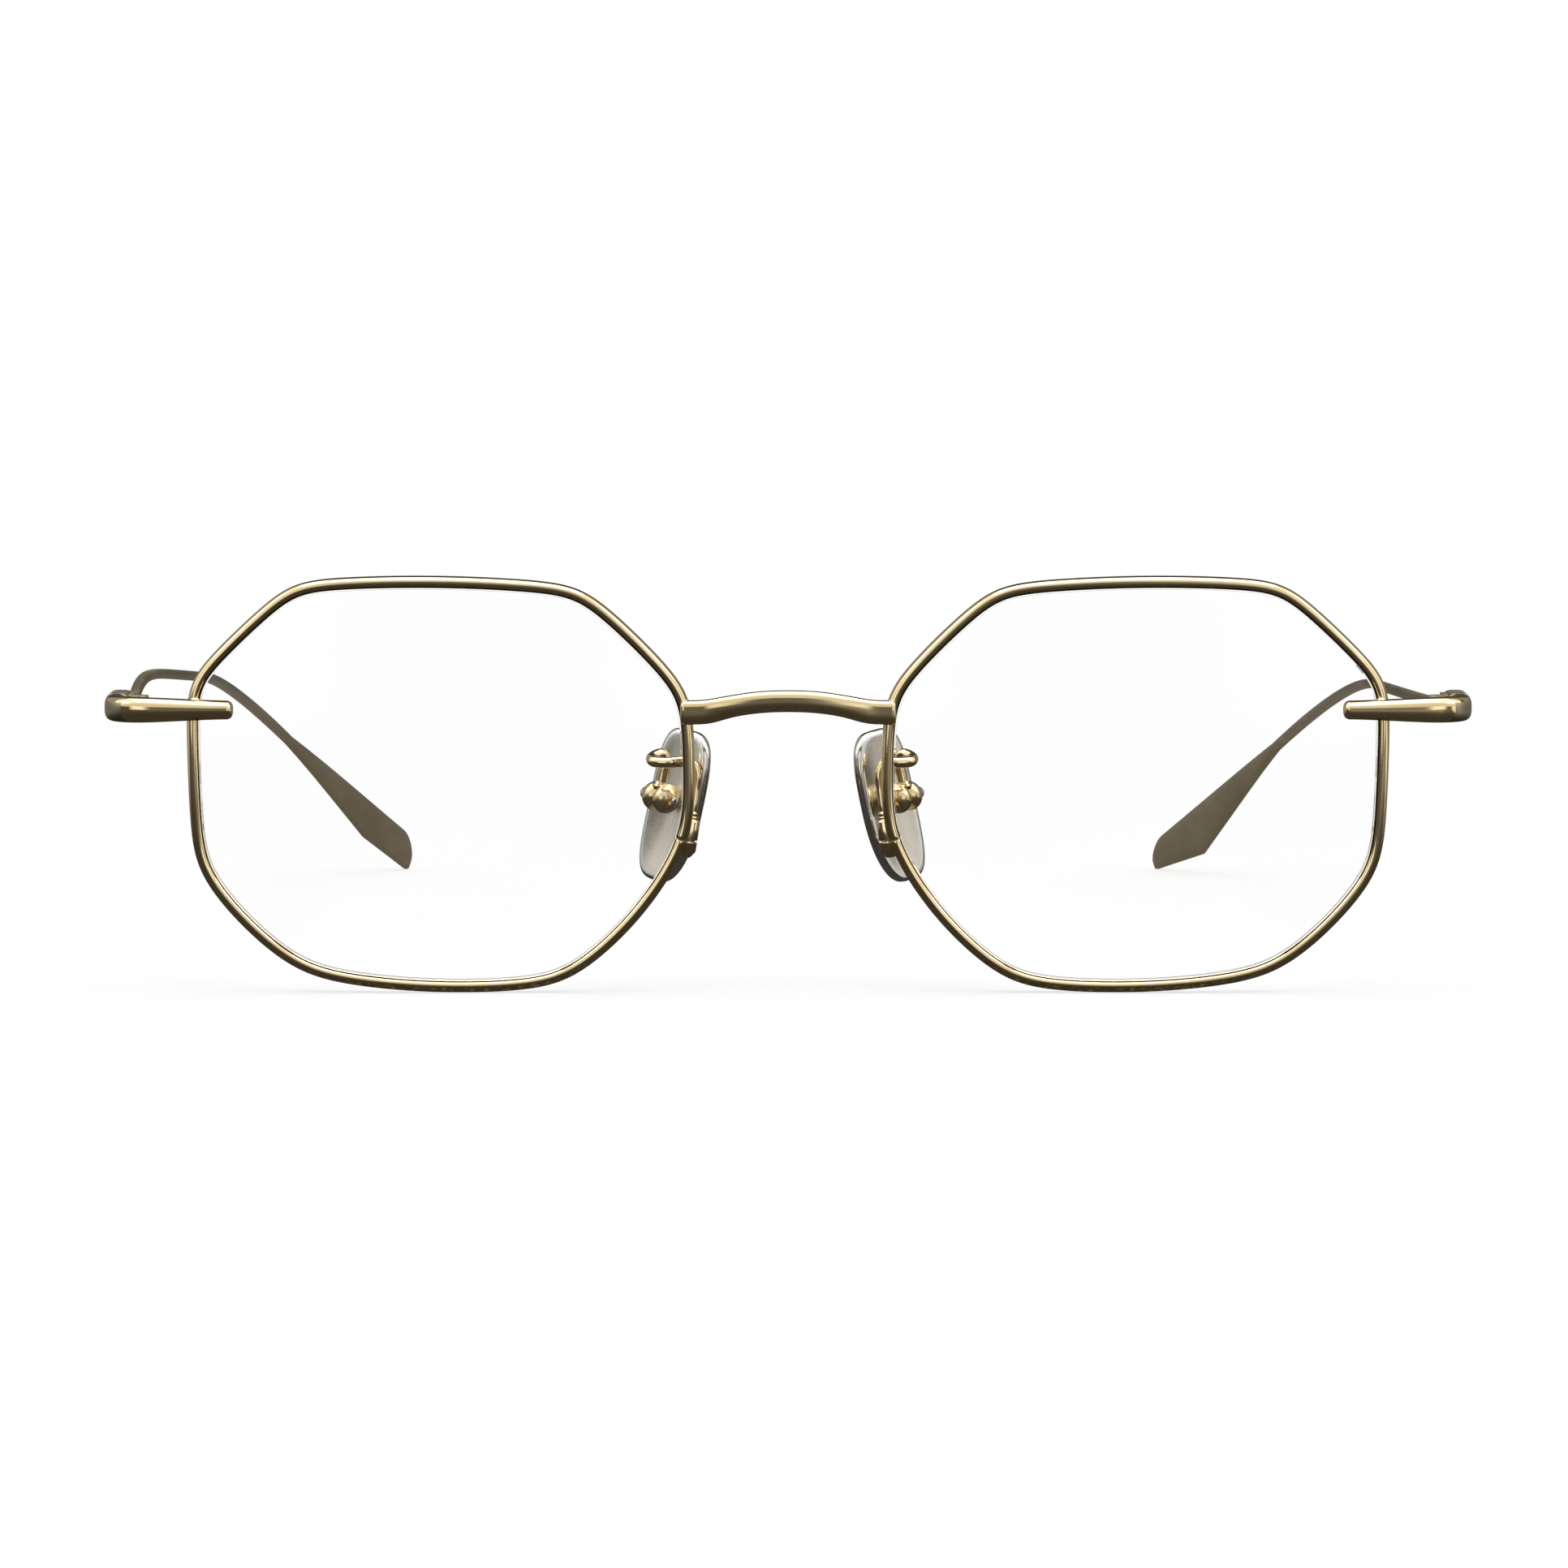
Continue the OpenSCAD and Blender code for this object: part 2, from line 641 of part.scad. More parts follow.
module upper_lock_block(left) {
    color(polished_gold)
        placed(left) difference() {
            at_lock() translate([0, 0, slit_w / 2]) cylinder(r = lock_r, h = lock_up_h);
            rim_at(slit_at, lock_turn);
            at_lock() translate([0, 0, -through])
                cylinder(r = lock_screw_r + braze, h = through + slit_w / 2 + lock_thread);
        }
}

lock_thread = 1.2;
lock_head_h = 0.4;
module lower_lock_block(left) {
    color(polished_gold)
        placed(left) difference() {
            at_lock() translate([0, 0, -slit_w / 2 - lock_down_h]) cylinder(r = lock_r, h = lock_down_h);
            rim_at(slit_at, lock_turn);
            at_lock() translate([0, 0, -through]) cylinder(r = lock_screw_r + running, h = through);
        }
}

module lock_screw(left) {
    color(polished_gold)
        placed(left) at_lock() difference() {
            union() {
                translate([0, 0, -slit_w / 2 - lock_down_h - braze])
                    cylinder(r = lock_screw_r, h = lock_down_h + slit_w + lock_thread);
                translate([0, 0, -slit_w / 2 - lock_down_h - braze - lock_head_h])
                    cylinder(r1 = lock_head_r - head_bevel, r2 = lock_head_r, h = lock_head_h);
            }
            translate([-lock_head_r, -driver_w / 2, -slit_w / 2 - lock_down_h - braze - lock_head_h - through])
                cube([2 * lock_head_r, driver_w, through + driver_d]);
        }
}

// The pad, its screw and its box share one frame: X along the screw, Y to the nose
function pad_place(left) = [left ? left_pad_half : right_pad_half, pad_back, rim_lens_z - pad_low];
module at_pad(left) {
    translate(pad_place(left)) rotate([0, -pad_lean, 0]) rotate([0, 0, pad_splay]) children();
}
function turned_y(p, a) = [p[0] * cos(a) + p[2] * sin(a), p[1], p[2] * cos(a) - p[0] * sin(a)];
function turned_z(p, a) = [p[0] * cos(a) - p[1] * sin(a), p[0] * sin(a) + p[1] * cos(a), p[2]];
function from_pad(left, p) = pad_place(left) + turned_y(turned_z(p, pad_splay), -pad_lean);

// Rear edge nearly straight, front edge bowed and drawn in towards the bottom
pad_points = 32;
function pad_outline(inset) = [
    for (i = [0 : pad_points - 1])
        let (
            t = 360 * (i + 0.5) / pad_points,
            squareness = cos(t) > 0 ? 4 : sin(t) > 0 ? 3.3 : 2.1
        )
            [
                (pad_w / 2 - inset) * power(cos(t), 2 / squareness),
                (pad_h / 2 - inset) * power(sin(t), 2 / squareness),
            ]
];
function pad_ring(inset, y) = [for (p = pad_outline(inset)) [p[0], y, p[1] - pad_drop]];
pad_edge = 0.35;
neck_h = 1.2;
slot_w = tang_t + 2 * slip;

module nose_pad(left) {
    color(satin_steel)
        placed(left) at_pad(left) difference() {
            union() {
                translate([0, pad_off, 0])
                    loft([
                        pad_ring(pad_edge, 0),
                        pad_ring(0, pad_edge),
                        pad_ring(0, pad_t - pad_edge - 0.1),
                        pad_ring(pad_edge, pad_t - 0.1),
                        pad_ring(pad_w / 4, pad_t),
                    ]);
                translate([-tang_t / 2, 0, 0]) rotate([0, 90, 0]) cylinder(r = tang_r, h = tang_t);
                translate([-tang_t / 2, 0, -neck_h / 2]) cube([tang_t, pad_off + pad_edge, neck_h]);
            }
            translate([-tang_t, 0, 0]) rotate([0, 90, 0]) cylinder(r = pad_screw_r + running, h = 2 * tang_t);
        }
}

stem_r = arm_r + 0.12;
box_top = lobe_r + 0.1;
slot_reach = tang_r + 0.12;
// Half of the box's outline, turned about the screw
module lobes_outline() {
    difference() {
        for (turn = [-1, 1]) translate([0, turn * lobe_at]) circle(r = lobe_r);
        translate([-4 * lobe_r, -4 * lobe_r]) square([4 * lobe_r, 8 * lobe_r]);
    }
}
module pad_box(left) {
    color(polished_gold)
        placed(left) at_pad(left) difference() {
            union() {
                rotate([0, 90, 0]) rotate_extrude() lobes_outline();
                translate([0, stem_y, slot_reach + 0.1]) cylinder(r = stem_r, h = box_top - slot_reach - 0.1);
            }
            translate([-slot_w / 2, -slot_reach, -2 * lobe_r])
                cube([slot_w, 4 * lobe_r, 2 * lobe_r + slot_reach]);
            translate([-3 * lobe_r, 0, 0]) rotate([0, 90, 0])
                cylinder(r = pad_screw_r + braze, h = 6 * lobe_r);
            translate([lobe_at + head_seat, 0, 0]) rotate([0, 90, 0])
                cylinder(r = pad_head_r + braze, h = lobe_r);
        }
}

// How far the stem stands in front of the screw
stem_y = -0.35;
head_seat = 0.95;
pad_head_h = 0.8;
head_bevel = 0.3;
module pad_screw(left) {
    color(bright_steel)
        placed(left) at_pad(left) rotate([0, 90, 0]) difference() {
            union() {
                translate([0, 0, -lobe_at - lobe_r + 0.1])
                    cylinder(r = pad_screw_r, h = 2 * lobe_at + lobe_r + head_seat);
                translate([0, 0, lobe_at + head_seat + braze])
                    cylinder(r = pad_head_r, h = pad_head_h - head_bevel);
                translate([0, 0, lobe_at + head_seat + braze + pad_head_h - head_bevel])
                    cylinder(r1 = pad_head_r, r2 = pad_head_r - head_bevel, h = head_bevel);
            }
            translate([-driver_w / 2, -pad_head_r, lobe_at + head_seat + braze + pad_head_h - driver_d])
                cube([driver_w, 2 * pad_head_r, through]);
        }
}

// The pad arm: up from the lock, back and outwards, round a curl and down into the pad box
arm_start = lock_place + turned_y([0, 0, slit_w / 2 + lock_up_h + braze], -lock_lean);
function arm_knots(left) =
    let (
        arm_end = from_pad(left, [0, stem_y, box_top + braze]),
        climb = arm_start + [-0.15, 0.6, 5.4],
        curl = arm_end + [-0.7, -2.85, 2.1]
    )
        [
            arm_start,
            arm_start + turned_y([0, 0.1, 1.3], -lock_lean),
            arm_start + [-0.4, 0.35, 2.9],
            arm_start + [-0.55, 0.5, 4.4],
            climb,
            (climb + curl) / 2 + [0, 0.2, 0.2],
            curl,
            arm_end + [0.6, -2.4, 2.15],
            arm_end + [1.0, -1.6, 2.4],
            arm_end + [0.55, -0.8, 2.7],
            arm_end + [-0.1, -0.25, 2.75],
            arm_end + [-0.45, -0.05, 2.05],
            arm_end + turned_y([0, 0, 1.1], -pad_lean),
            arm_end,
        ];
// A smooth curve through the knots
function between_knots(knots, t) =
    let (
        last = len(knots) - 1,
        i = min(last - 1, floor(t)),
        f = t - i,
        a = knots[max(0, i - 1)],
        b = knots[i],
        c = knots[i + 1],
        d = knots[min(last, i + 2)]
    )
        0.5 * (2 * b + (c - a) * f + (2 * a - 5 * b + 4 * c - d) * f * f + (3 * b - a - 3 * c + d) * f * f * f);
arm_parts = 3;
arm_count = (len(arm_knots(true)) - 1) * arm_parts;
function arm_along(line, i) =
    i == 0 ? turned_y([0, 0, 1], -lock_lean)
    : i == arm_count ? turned_y([0, 0, -1], -pad_lean)
    : unit(line[i + 1] - line[i - 1]);
// Each ring's side direction is the last one's, turned no more than it must
function arm_sides(line) = [
    for (
        i = 0, side = [0, 1, 0];
        i <= arm_count;
        i = i + 1, side = i <= arm_count ? unit(side - (side * arm_along(line, i)) * arm_along(line, i)) : side
    ) side
];
collar_r = 0.7;
collar_h = 0.5;

module pad_arm(left) {
    knots = arm_knots(left);
    line = [for (i = [0 : arm_count]) between_knots(knots, i / arm_parts)];
    sides = arm_sides(line);
    color(polished_gold)
        placed(left) {
            loft([
                for (i = [0 : arm_count])
                    let (r = arm_foot_r + (arm_r - arm_foot_r) * smooth(i / arm_count * 2.5))
                        ring_at(line[i], sides[i], cross(sides[i], arm_along(line, i)),
                            oval(r, r, 2, tube_sides))
            ]);
            translate(arm_start) rotate([0, -lock_lean, 0]) cylinder(r = collar_r, h = collar_h);
        }
}

// The origin lies on the table, midway between the lens's front point and the temples' tips
tip_y = max([
    for (left = [false, true])
        let (path = temple_path(left))
            for (s = tip_places, p = temple_ring(path, left, s)) p[1]
]);
middle_y = (tip_y - lens_t / 2) / 2;
module placed(left) {
    translate([0, -middle_y, 0]) on_side(left) children();
}

bridge();
rim(false);  // right_rim
rim(true);  // left_rim
lens(false);  // right_lens
lens(true);  // left_lens
end_piece(false);  // right_end_piece
end_piece(true);  // left_end_piece
hinge_front(false);  // right_hinge_front
hinge_front(true);  // left_hinge_front
hinge_back(false);  // right_hinge_back
hinge_back(true);  // left_hinge_back
hinge_screw(false);  // right_hinge_screw
hinge_screw(true);  // left_hinge_screw
temple(false);  // right_temple
temple(true);  // left_temple
upper_lock_block(false);  // right_upper_lock_block
upper_lock_block(true);  // left_upper_lock_block
lower_lock_block(false);  // right_lower_lock_block
lower_lock_block(true);  // left_lower_lock_block
lock_screw(false);  // right_lock_screw
lock_screw(true);  // left_lock_screw
pad_arm(false);  // right_pad_arm
pad_arm(true);  // left_pad_arm
pad_box(false);  // right_pad_box
pad_box(true);  // left_pad_box
pad_screw(false);  // right_pad_screw
pad_screw(true);  // left_pad_screw
nose_pad(false);  // right_nose_pad
nose_pad(true);  // left_nose_pad
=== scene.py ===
"""Octagonal metal eyeglasses: detailed pieces, finishes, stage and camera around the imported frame."""

import json
import math

import bmesh
import bpy
from mathutils import Matrix, Vector


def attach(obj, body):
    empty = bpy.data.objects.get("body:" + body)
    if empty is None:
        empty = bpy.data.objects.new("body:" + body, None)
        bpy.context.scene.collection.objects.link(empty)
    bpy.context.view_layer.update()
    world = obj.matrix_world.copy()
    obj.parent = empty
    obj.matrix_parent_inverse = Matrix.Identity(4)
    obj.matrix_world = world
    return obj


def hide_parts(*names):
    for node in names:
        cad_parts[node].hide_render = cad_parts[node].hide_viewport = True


bl_info = {
    "name": "Octagonal Eyeglasses",
    "version": (1, 0, 0),
    "blender": (4, 5, 0),
    "location": "View3D > Sidebar > Eyeglasses",
    "description": "Makes octagonal metal eyeglasses with their finishes, a stage and a camera",
    "category": "Object",
}

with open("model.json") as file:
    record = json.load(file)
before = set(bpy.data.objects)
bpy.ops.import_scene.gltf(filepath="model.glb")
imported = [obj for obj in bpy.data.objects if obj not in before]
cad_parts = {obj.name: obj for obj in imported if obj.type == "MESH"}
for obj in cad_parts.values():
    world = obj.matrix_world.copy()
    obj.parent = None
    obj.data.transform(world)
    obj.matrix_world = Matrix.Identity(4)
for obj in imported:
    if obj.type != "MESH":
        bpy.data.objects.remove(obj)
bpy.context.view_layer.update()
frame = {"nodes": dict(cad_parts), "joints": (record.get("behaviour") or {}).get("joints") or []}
JOINTS = {joint["name"]: joint for joint in frame["joints"]}

MM = 0.001
TAU = 2 * math.pi
SIDES = ("right", "left")
MERGE_WITHIN = 1e-7
UV_ROUND = 0.004
BEVEL_ABOVE, BEVEL_PARTS = 0.6, 2

# The hinge ties this script's front-based millimetres to the frame: Y counts back from the lens's front point
SEAM_BACK = 5.6
END_OVER_LENS = 7.5
HINGE = Vector(JOINTS["left_temple_hinge"]["pos_m"]) / MM
ORIGIN_Y = HINGE.y - SEAM_BACK
END_Z = HINGE.z
LENS_Z = END_Z - END_OVER_LENS

# The lens: direction of each of its eight sides, its distance from the middle, and the radius of its bow
LENS_SIDES = (
    (-2, 24.0, 370), (49.5, 23.8, 98), (91, 19.6, 145), (130, 23.1, 72),
    (178, 24.4, 2000), (235, 22.4, 33), (272, 19.7, 87), (300, 22.45, 37),
)
REACH_OUT, REACH_IN = LENS_SIDES[0][1], LENS_SIDES[4][1]
CORNER_SHARPNESS = 33
BASE_CURVE = 132
LENS_GAP = 21.3
SLIT_AT = 193


def smooth(t):
    c = max(0.0, min(1.0, t))
    return c * c * (3 - 2 * c)


def power(value, exponent):
    return math.copysign(abs(value) ** exponent, value)


def side_reach(side, degrees):
    direction, distance, bow = side
    turn = math.radians(degrees - direction)
    behind = bow - distance
    return math.sqrt(bow**2 - (behind * math.sin(turn)) ** 2) - behind * math.cos(turn)


def lens_reach(degrees):
    total = sum(side_reach(side, degrees) ** -CORNER_SHARPNESS for side in LENS_SIDES)
    return total ** (-1 / CORNER_SHARPNESS)


def lens_point(degrees):
    turn = math.radians(degrees)
    return Vector((math.cos(turn), 0, math.sin(turn))) * lens_reach(degrees)


def lens_normal(degrees):
    along = (lens_point(degrees + 0.5) - lens_point(degrees - 0.5)).normalized()
    return Vector((along.z, 0, -along.x))


def sag(distance):
    return BASE_CURVE - math.sqrt(BASE_CURVE**2 - distance**2)


LENS_X = LENS_GAP / 2 - min(lens_point(degrees).x for degrees in range(360))


def to_frame(point, side):
    """A point in front-based millimetres on the left side, as metres in the frame on either side."""
    x = point[0] if side == "left" else -point[0]
    return Vector((x, point[1] + ORIGIN_Y, point[2])) * MM


def to_side(direction, side):
    return Vector((direction[0] if side == "left" else -direction[0], direction[1], direction[2]))


# Node helpers


def add_node(tree, kind, values=None, **settings):
    """A new node with its settings, and its inputs set or linked."""
    node = tree.nodes.new(kind)
    for key, value in settings.items():
        setattr(node, key, value)
    for key, value in (values or {}).items():
        if isinstance(value, bpy.types.NodeSocket):
            tree.links.new(value, node.inputs[key])
        else:
            node.inputs[key].default_value = value
    return node


def add_math(tree, operation, *values, clamp=False):
    values = dict(enumerate(values))
    return add_node(tree, "ShaderNodeMath", values, operation=operation, use_clamp=clamp).outputs[0]


def add_vector_math(tree, operation, *values, scale=None):
    values = dict(enumerate(values))
    if scale is not None:
        values["Scale"] = scale
    return add_node(tree, "ShaderNodeVectorMath", values, operation=operation).outputs[0]


def add_length(tree, vector):
    return add_node(tree, "ShaderNodeVectorMath", {0: vector}, operation="LENGTH").outputs["Value"]


def add_split(tree, vector):
    """The X, Y and Z of a vector."""
    return add_node(tree, "ShaderNodeSeparateXYZ", {"Vector": vector}).outputs


def add_range(tree, value, start, end, low=0.0, high=1.0, kind="LINEAR"):
    """Low up to the start, high from the end on, and a change from one to the other in between."""
    values = {"Value": value, "From Min": start, "From Max": end, "To Min": low, "To Max": high}
    return add_node(tree, "ShaderNodeMapRange", values, interpolation_type=kind).outputs[0]


def add_fade(tree, value, start, end):
    """0 up to the start and 1 from the end on, with a soft change in between."""
    return add_range(tree, value, start, end, kind="SMOOTHSTEP")


def add_noise(tree, vector, scale, detail, roughness=0.5):
    values = {"Vector": vector, "Scale": scale, "Detail": detail, "Roughness": roughness}
    return add_node(tree, "ShaderNodeTexNoise", values).outputs[0]


# Mesh helpers


def sweep_tree():
    """Geometry nodes that lay a rounded section along a row of points.

    Each point carries the section's two directions, its reach on all four sides, its squareness and its
    distance along the path. A groove may run along the inner side.
    """
    tree = bpy.data.node_groups.get("Sweep along path")
    if tree:
        return tree
    tree = bpy.data.node_groups.new("Sweep along path", "GeometryNodeTree")
    new_socket = tree.interface.new_socket
    new_socket("Path", in_out="INPUT", socket_type="NodeSocketGeometry")
    for name, kind, default in (
        ("Points around", "NodeSocketInt", 32),
        ("Groove depth", "NodeSocketFloat", 0.0),
        ("Groove width", "NodeSocketFloat", 0.001),
        ("Sharp angle", "NodeSocketFloat", 0.6),
    ):
        new_socket(name, in_out="INPUT", socket_type=kind).default_value = default
    new_socket("Material", in_out="INPUT", socket_type="NodeSocketMaterial")
    new_socket("Mesh", in_out="OUTPUT", socket_type="NodeSocketGeometry")
    given = add_node(tree, "NodeGroupInput").outputs

    def calc(operation, *values, **settings):
        return add_math(tree, operation, *values, **settings)

    rows = add_node(tree, "GeometryNodeAttributeDomainSize", {"Geometry": given["Path"]}).outputs["Point Count"]
    columns = calc("ADD", given["Points around"], 1.0)
    grid = add_node(
        tree, "GeometryNodeMeshGrid", {"Size X": 1.0, "Size Y": 1.0, "Vertices X": rows, "Vertices Y": columns}
    )
    place = add_split(tree, add_node(tree, "GeometryNodeInputPosition").outputs[0])
    row_number = calc("MULTIPLY", calc("ADD", place["X"], 0.5), calc("SUBTRACT", rows, 1.0))
    row = add_node(tree, "FunctionNodeFloatToInt", {"Float": row_number}, rounding_mode="ROUND").outputs[0]
    around = calc("ADD", place["Y"], 0.5)
    turn = calc("MULTIPLY", around, TAU)

    def sampled(name, kind):
        attribute = add_node(tree, "GeometryNodeInputNamedAttribute", {"Name": name}, data_type=kind)
        values = {"Geometry": given["Path"], "Value": attribute.outputs["Attribute"], "Index": row}
        sample = add_node(tree, "GeometryNodeSampleIndex", values, data_type=kind, domain="POINT")
        return sample.outputs["Value"]

    centre, side, up = (sampled(name, "FLOAT_VECTOR") for name in ("position", "side", "up"))
    exponent = calc("DIVIDE", 2.0, sampled("squareness", "FLOAT"))

    def rounded(value, reach):
        reach = add_split(tree, sampled(reach, "FLOAT_VECTOR"))
        share = calc("POWER", calc("ABSOLUTE", value), exponent)
        positive = calc("GREATER_THAN", value, 0.0)
        far = calc("MULTIPLY", positive, reach["X"])
        near = calc("MULTIPLY", calc("SUBTRACT", positive, 1.0), reach["Y"])
        return calc("MULTIPLY", share, calc("ADD", far, near))

    out = rounded(calc("COSINE", turn), "reach_side")
    lift = rounded(calc("SINE", turn), "reach_up")
    half_groove = calc("MULTIPLY", given["Groove width"], 0.5)
    into = calc("SUBTRACT", 1.0, calc("DIVIDE", calc("ABSOLUTE", lift), half_groove), clamp=True)
    inner = calc("LESS_THAN", out, 0.0)
    groove = calc("MULTIPLY", calc("MULTIPLY", into, inner), given["Groove depth"])
    outwards = add_vector_math(tree, "SCALE", side, scale=calc("ADD", out, groove))
    upwards = add_vector_math(tree, "SCALE", up, scale=lift)
    position = add_vector_math(tree, "ADD", add_vector_math(tree, "ADD", centre, outwards), upwards)
    uv = {"X": sampled("along", "FLOAT"), "Y": calc("MULTIPLY", around, UV_ROUND)}
    values = {
        "Geometry": grid.outputs["Mesh"],
        "Name": "UVMap",
        "Value": add_node(tree, "ShaderNodeCombineXYZ", uv).outputs[0],
    }
    shape = add_node(tree, "GeometryNodeStoreNamedAttribute", values, data_type="FLOAT2", domain="CORNER")
    angle = add_node(tree, "GeometryNodeInputMeshEdgeAngle").outputs["Unsigned Angle"]
    crisp = {"Selection": calc("GREATER_THAN", angle, given["Sharp angle"]), "Shade Smooth": False}
    for kind, values, settings in (
        ("GeometryNodeSetPosition", {"Position": position}, {}),
        ("GeometryNodeMergeByDistance", {"Distance": 1e-6}, {}),
        ("GeometryNodeSetShadeSmooth", {}, {}),
        ("GeometryNodeSetShadeSmooth", crisp, {"domain": "EDGE"}),
        ("GeometryNodeRealizeInstances", {}, {}),
        ("GeometryNodeSetMaterial", {"Material": given["Material"]}, {}),
    ):
        shape = add_node(tree, kind, {"Geometry": shape.outputs[0], **values}, **settings)
    add_node(tree, "NodeGroupOutput", {"Mesh": shape.outputs[0]})
    return tree


def apply_tree(source, tree, values):
    """Runs a geometry node tree on an object and returns the result as a plain mesh."""
    modifier = source.modifiers.new("Nodes", "NODES")
    modifier.node_group = tree
    for item in tree.interface.items_tree:
        if item.in_out == "INPUT" and item.name in values:
            modifier[item.identifier] = values[item.name]
    depsgraph = bpy.context.evaluated_depsgraph_get()
    depsgraph.update()
    mesh = bpy.data.meshes.new_from_object(source.evaluated_get(depsgraph))
    source.modifiers.remove(modifier)
    return mesh


def face_outwards(mesh):
    form = bmesh.new()
    form.from_mesh(mesh)
    bmesh.ops.recalc_face_normals(form, faces=form.faces)
    form.to_mesh(mesh)
    form.free()


def link_piece(name, mesh, materials=()):
    mesh.name = name
    for material in materials:
        mesh.materials.append(material)
    piece = bpy.data.objects.new(name, mesh)
    bpy.context.scene.collection.objects.link(piece)
    return piece


def swept(name, rows, side, material, around=32, groove=(0.0, 1.0), sharp=0.6):
    """Sweeps a section along rows.

    Each row is (middle, side direction, up direction, reaches, squareness, distance along).
    """
    mesh = bpy.data.meshes.new(name + "_path")
    mesh.from_pydata([to_frame(row[0], side) for row in rows], [], [])
    columns = {
        "side": [to_side(row[1], side) for row in rows],
        "up": [to_side(row[2], side) for row in rows],
        "reach_side": [Vector((row[3][0], row[3][1], 0)) * MM for row in rows],
        "reach_up": [Vector((row[3][2], row[3][3], 0)) * MM for row in rows],
    }
    for key, vectors in columns.items():
        attribute = mesh.attributes.new(key, "FLOAT_VECTOR", "POINT")
        attribute.data.foreach_set("vector", [c for vector in vectors for c in vector])
    for key, values in (("squareness", [row[4] for row in rows]), ("along", [row[5] * MM for row in rows])):
        mesh.attributes.new(key, "FLOAT", "POINT").data.foreach_set("value", values)
    path = bpy.data.objects.new(name + "_path", mesh)
    bpy.context.scene.collection.objects.link(path)
    values = {
        "Points around": around,
        "Groove depth": groove[0] * MM,
        "Groove width": groove[1] * MM,
        "Sharp angle": sharp,
        "Material": material,
    }
    result = apply_tree(path, sweep_tree(), values)
    bpy.data.objects.remove(path)
    bpy.data.meshes.remove(mesh)
    face_outwards(result)
    if not result.polygons:
        raise RuntimeError(f"the sweep for {name} came out empty")
    return link_piece(name, result)


def rings_mesh(name, rings, materials=(), ring_material=None, sharp=0.6):
    """A closed skin over rings of points, with a fan at each end."""
    count = len(rings[0])
    points = [point for ring in rings for point in ring]
    faces = []
    marks = []
    for i in range(len(rings) - 1):
        for j in range(count):
            k = (j + 1) % count
            faces.append((i * count + j, i * count + k, (i + 1) * count + k, (i + 1) * count + j))
            marks.append(ring_material(i) if ring_material else 0)
    for end, ring in ((0, rings[0]), (len(rings) - 1, rings[-1])):
        points.append(sum((Vector(p) for p in ring), Vector()) / count)
        middle = len(points) - 1
        for j in range(count):
            faces.append((end * count + j, end * count + (j + 1) % count, middle))
            marks.append(0)
    mesh = bpy.data.meshes.new(name)
    mesh.from_pydata(points, [], faces)
    mesh.polygons.foreach_set("material_index", marks)
    tidy_mesh(mesh, sharp)
    return link_piece(name, mesh, materials)


def tidy_mesh(mesh, sharp):
    """Merges doubles, turns faces outwards and smooths all but sharp edges."""
    form = bmesh.new()
    form.from_mesh(mesh)
    bmesh.ops.remove_doubles(form, verts=form.verts, dist=MERGE_WITHIN)
    bmesh.ops.dissolve_degenerate(form, edges=form.edges, dist=MERGE_WITHIN)
    bmesh.ops.recalc_face_normals(form, faces=form.faces)
    for face in form.faces:
        face.smooth = True
    for edge in form.edges:
        edge.smooth = len(edge.link_faces) == 2 and edge.calc_face_angle(0.0) < sharp
    form.to_mesh(mesh)
    form.free()


def turned(name, profile, base, axis, side, material, steps=48, sharp=0.5):
    """A lathe-turned piece: profile of (distance along the axis, radius) in millimetres."""
    axis = Vector(axis).normalized()
    first = axis.orthogonal().normalized()
    second = axis.cross(first)
    spokes = [
        first * math.cos(TAU * j / steps) + second * math.sin(TAU * j / steps) for j in range(steps)
    ]
    rings = [
        [to_frame(Vector(base) + axis * along + spoke * max(radius, 1e-4), side) for spoke in spokes]
        for along, radius in profile
    ]
    return rings_mesh(name, rings, [material], sharp=sharp)


def bevelled_copy(name, node, width, material):
    """A copy of a CAD node's shape with rounded edges."""
    mesh = frame["nodes"][node].data.copy()
    mesh.materials.clear()
    form = bmesh.new()
    form.from_mesh(mesh)
    bmesh.ops.remove_doubles(form, verts=form.verts, dist=2 * MERGE_WITHIN)
    bmesh.ops.dissolve_limit(form, angle_limit=0.02, verts=form.verts, edges=form.edges)
    edges = [e for e in form.edges if len(e.link_faces) == 2 and e.calc_face_angle(0.0) > BEVEL_ABOVE]
    shape = {"segments": BEVEL_PARTS, "profile": 0.5, "affect": "EDGES", "clamp_overlap": True}
    bmesh.ops.bevel(form, geom=edges, offset=width * MM, **shape)
    bmesh.ops.triangulate(form, faces=[f for f in form.faces if len(f.verts) > 4])
    form.to_mesh(mesh)
    form.free()
    tidy_mesh(mesh, 0.5)
    return link_piece(name, mesh, [material])


def joined(name, pieces):
    """Joins pieces into one object with the first one's name."""
    form = bmesh.new()
    materials = []
    for piece in pieces:
        start = len(form.faces)
        form.from_mesh(piece.data)
        form.faces.ensure_lookup_table()
        for face in form.faces[start:]:
            material = piece.data.materials[face.material_index]
            if material not in materials:
                materials.append(material)
            face.material_index = materials.index(material)
    mesh = bpy.data.meshes.new(name)
    form.to_mesh(mesh)
    form.free()
    for piece in pieces:
        bpy.data.objects.remove(piece)
    return link_piece(name, mesh, materials)


# Finishes


# How much scratches dull the plating, and how much they show beside a grain
SCRATCH_DULLS, SCRATCH_BY_GRAIN = 0.05, 0.3
# Painted highlight: how much lighter and whiter the gold is made on its outer edges
GOLD_EDGE_LIGHT = (1.08, 1.1, 1.2)
PLATING_BUMP = (0.15, 0.004)


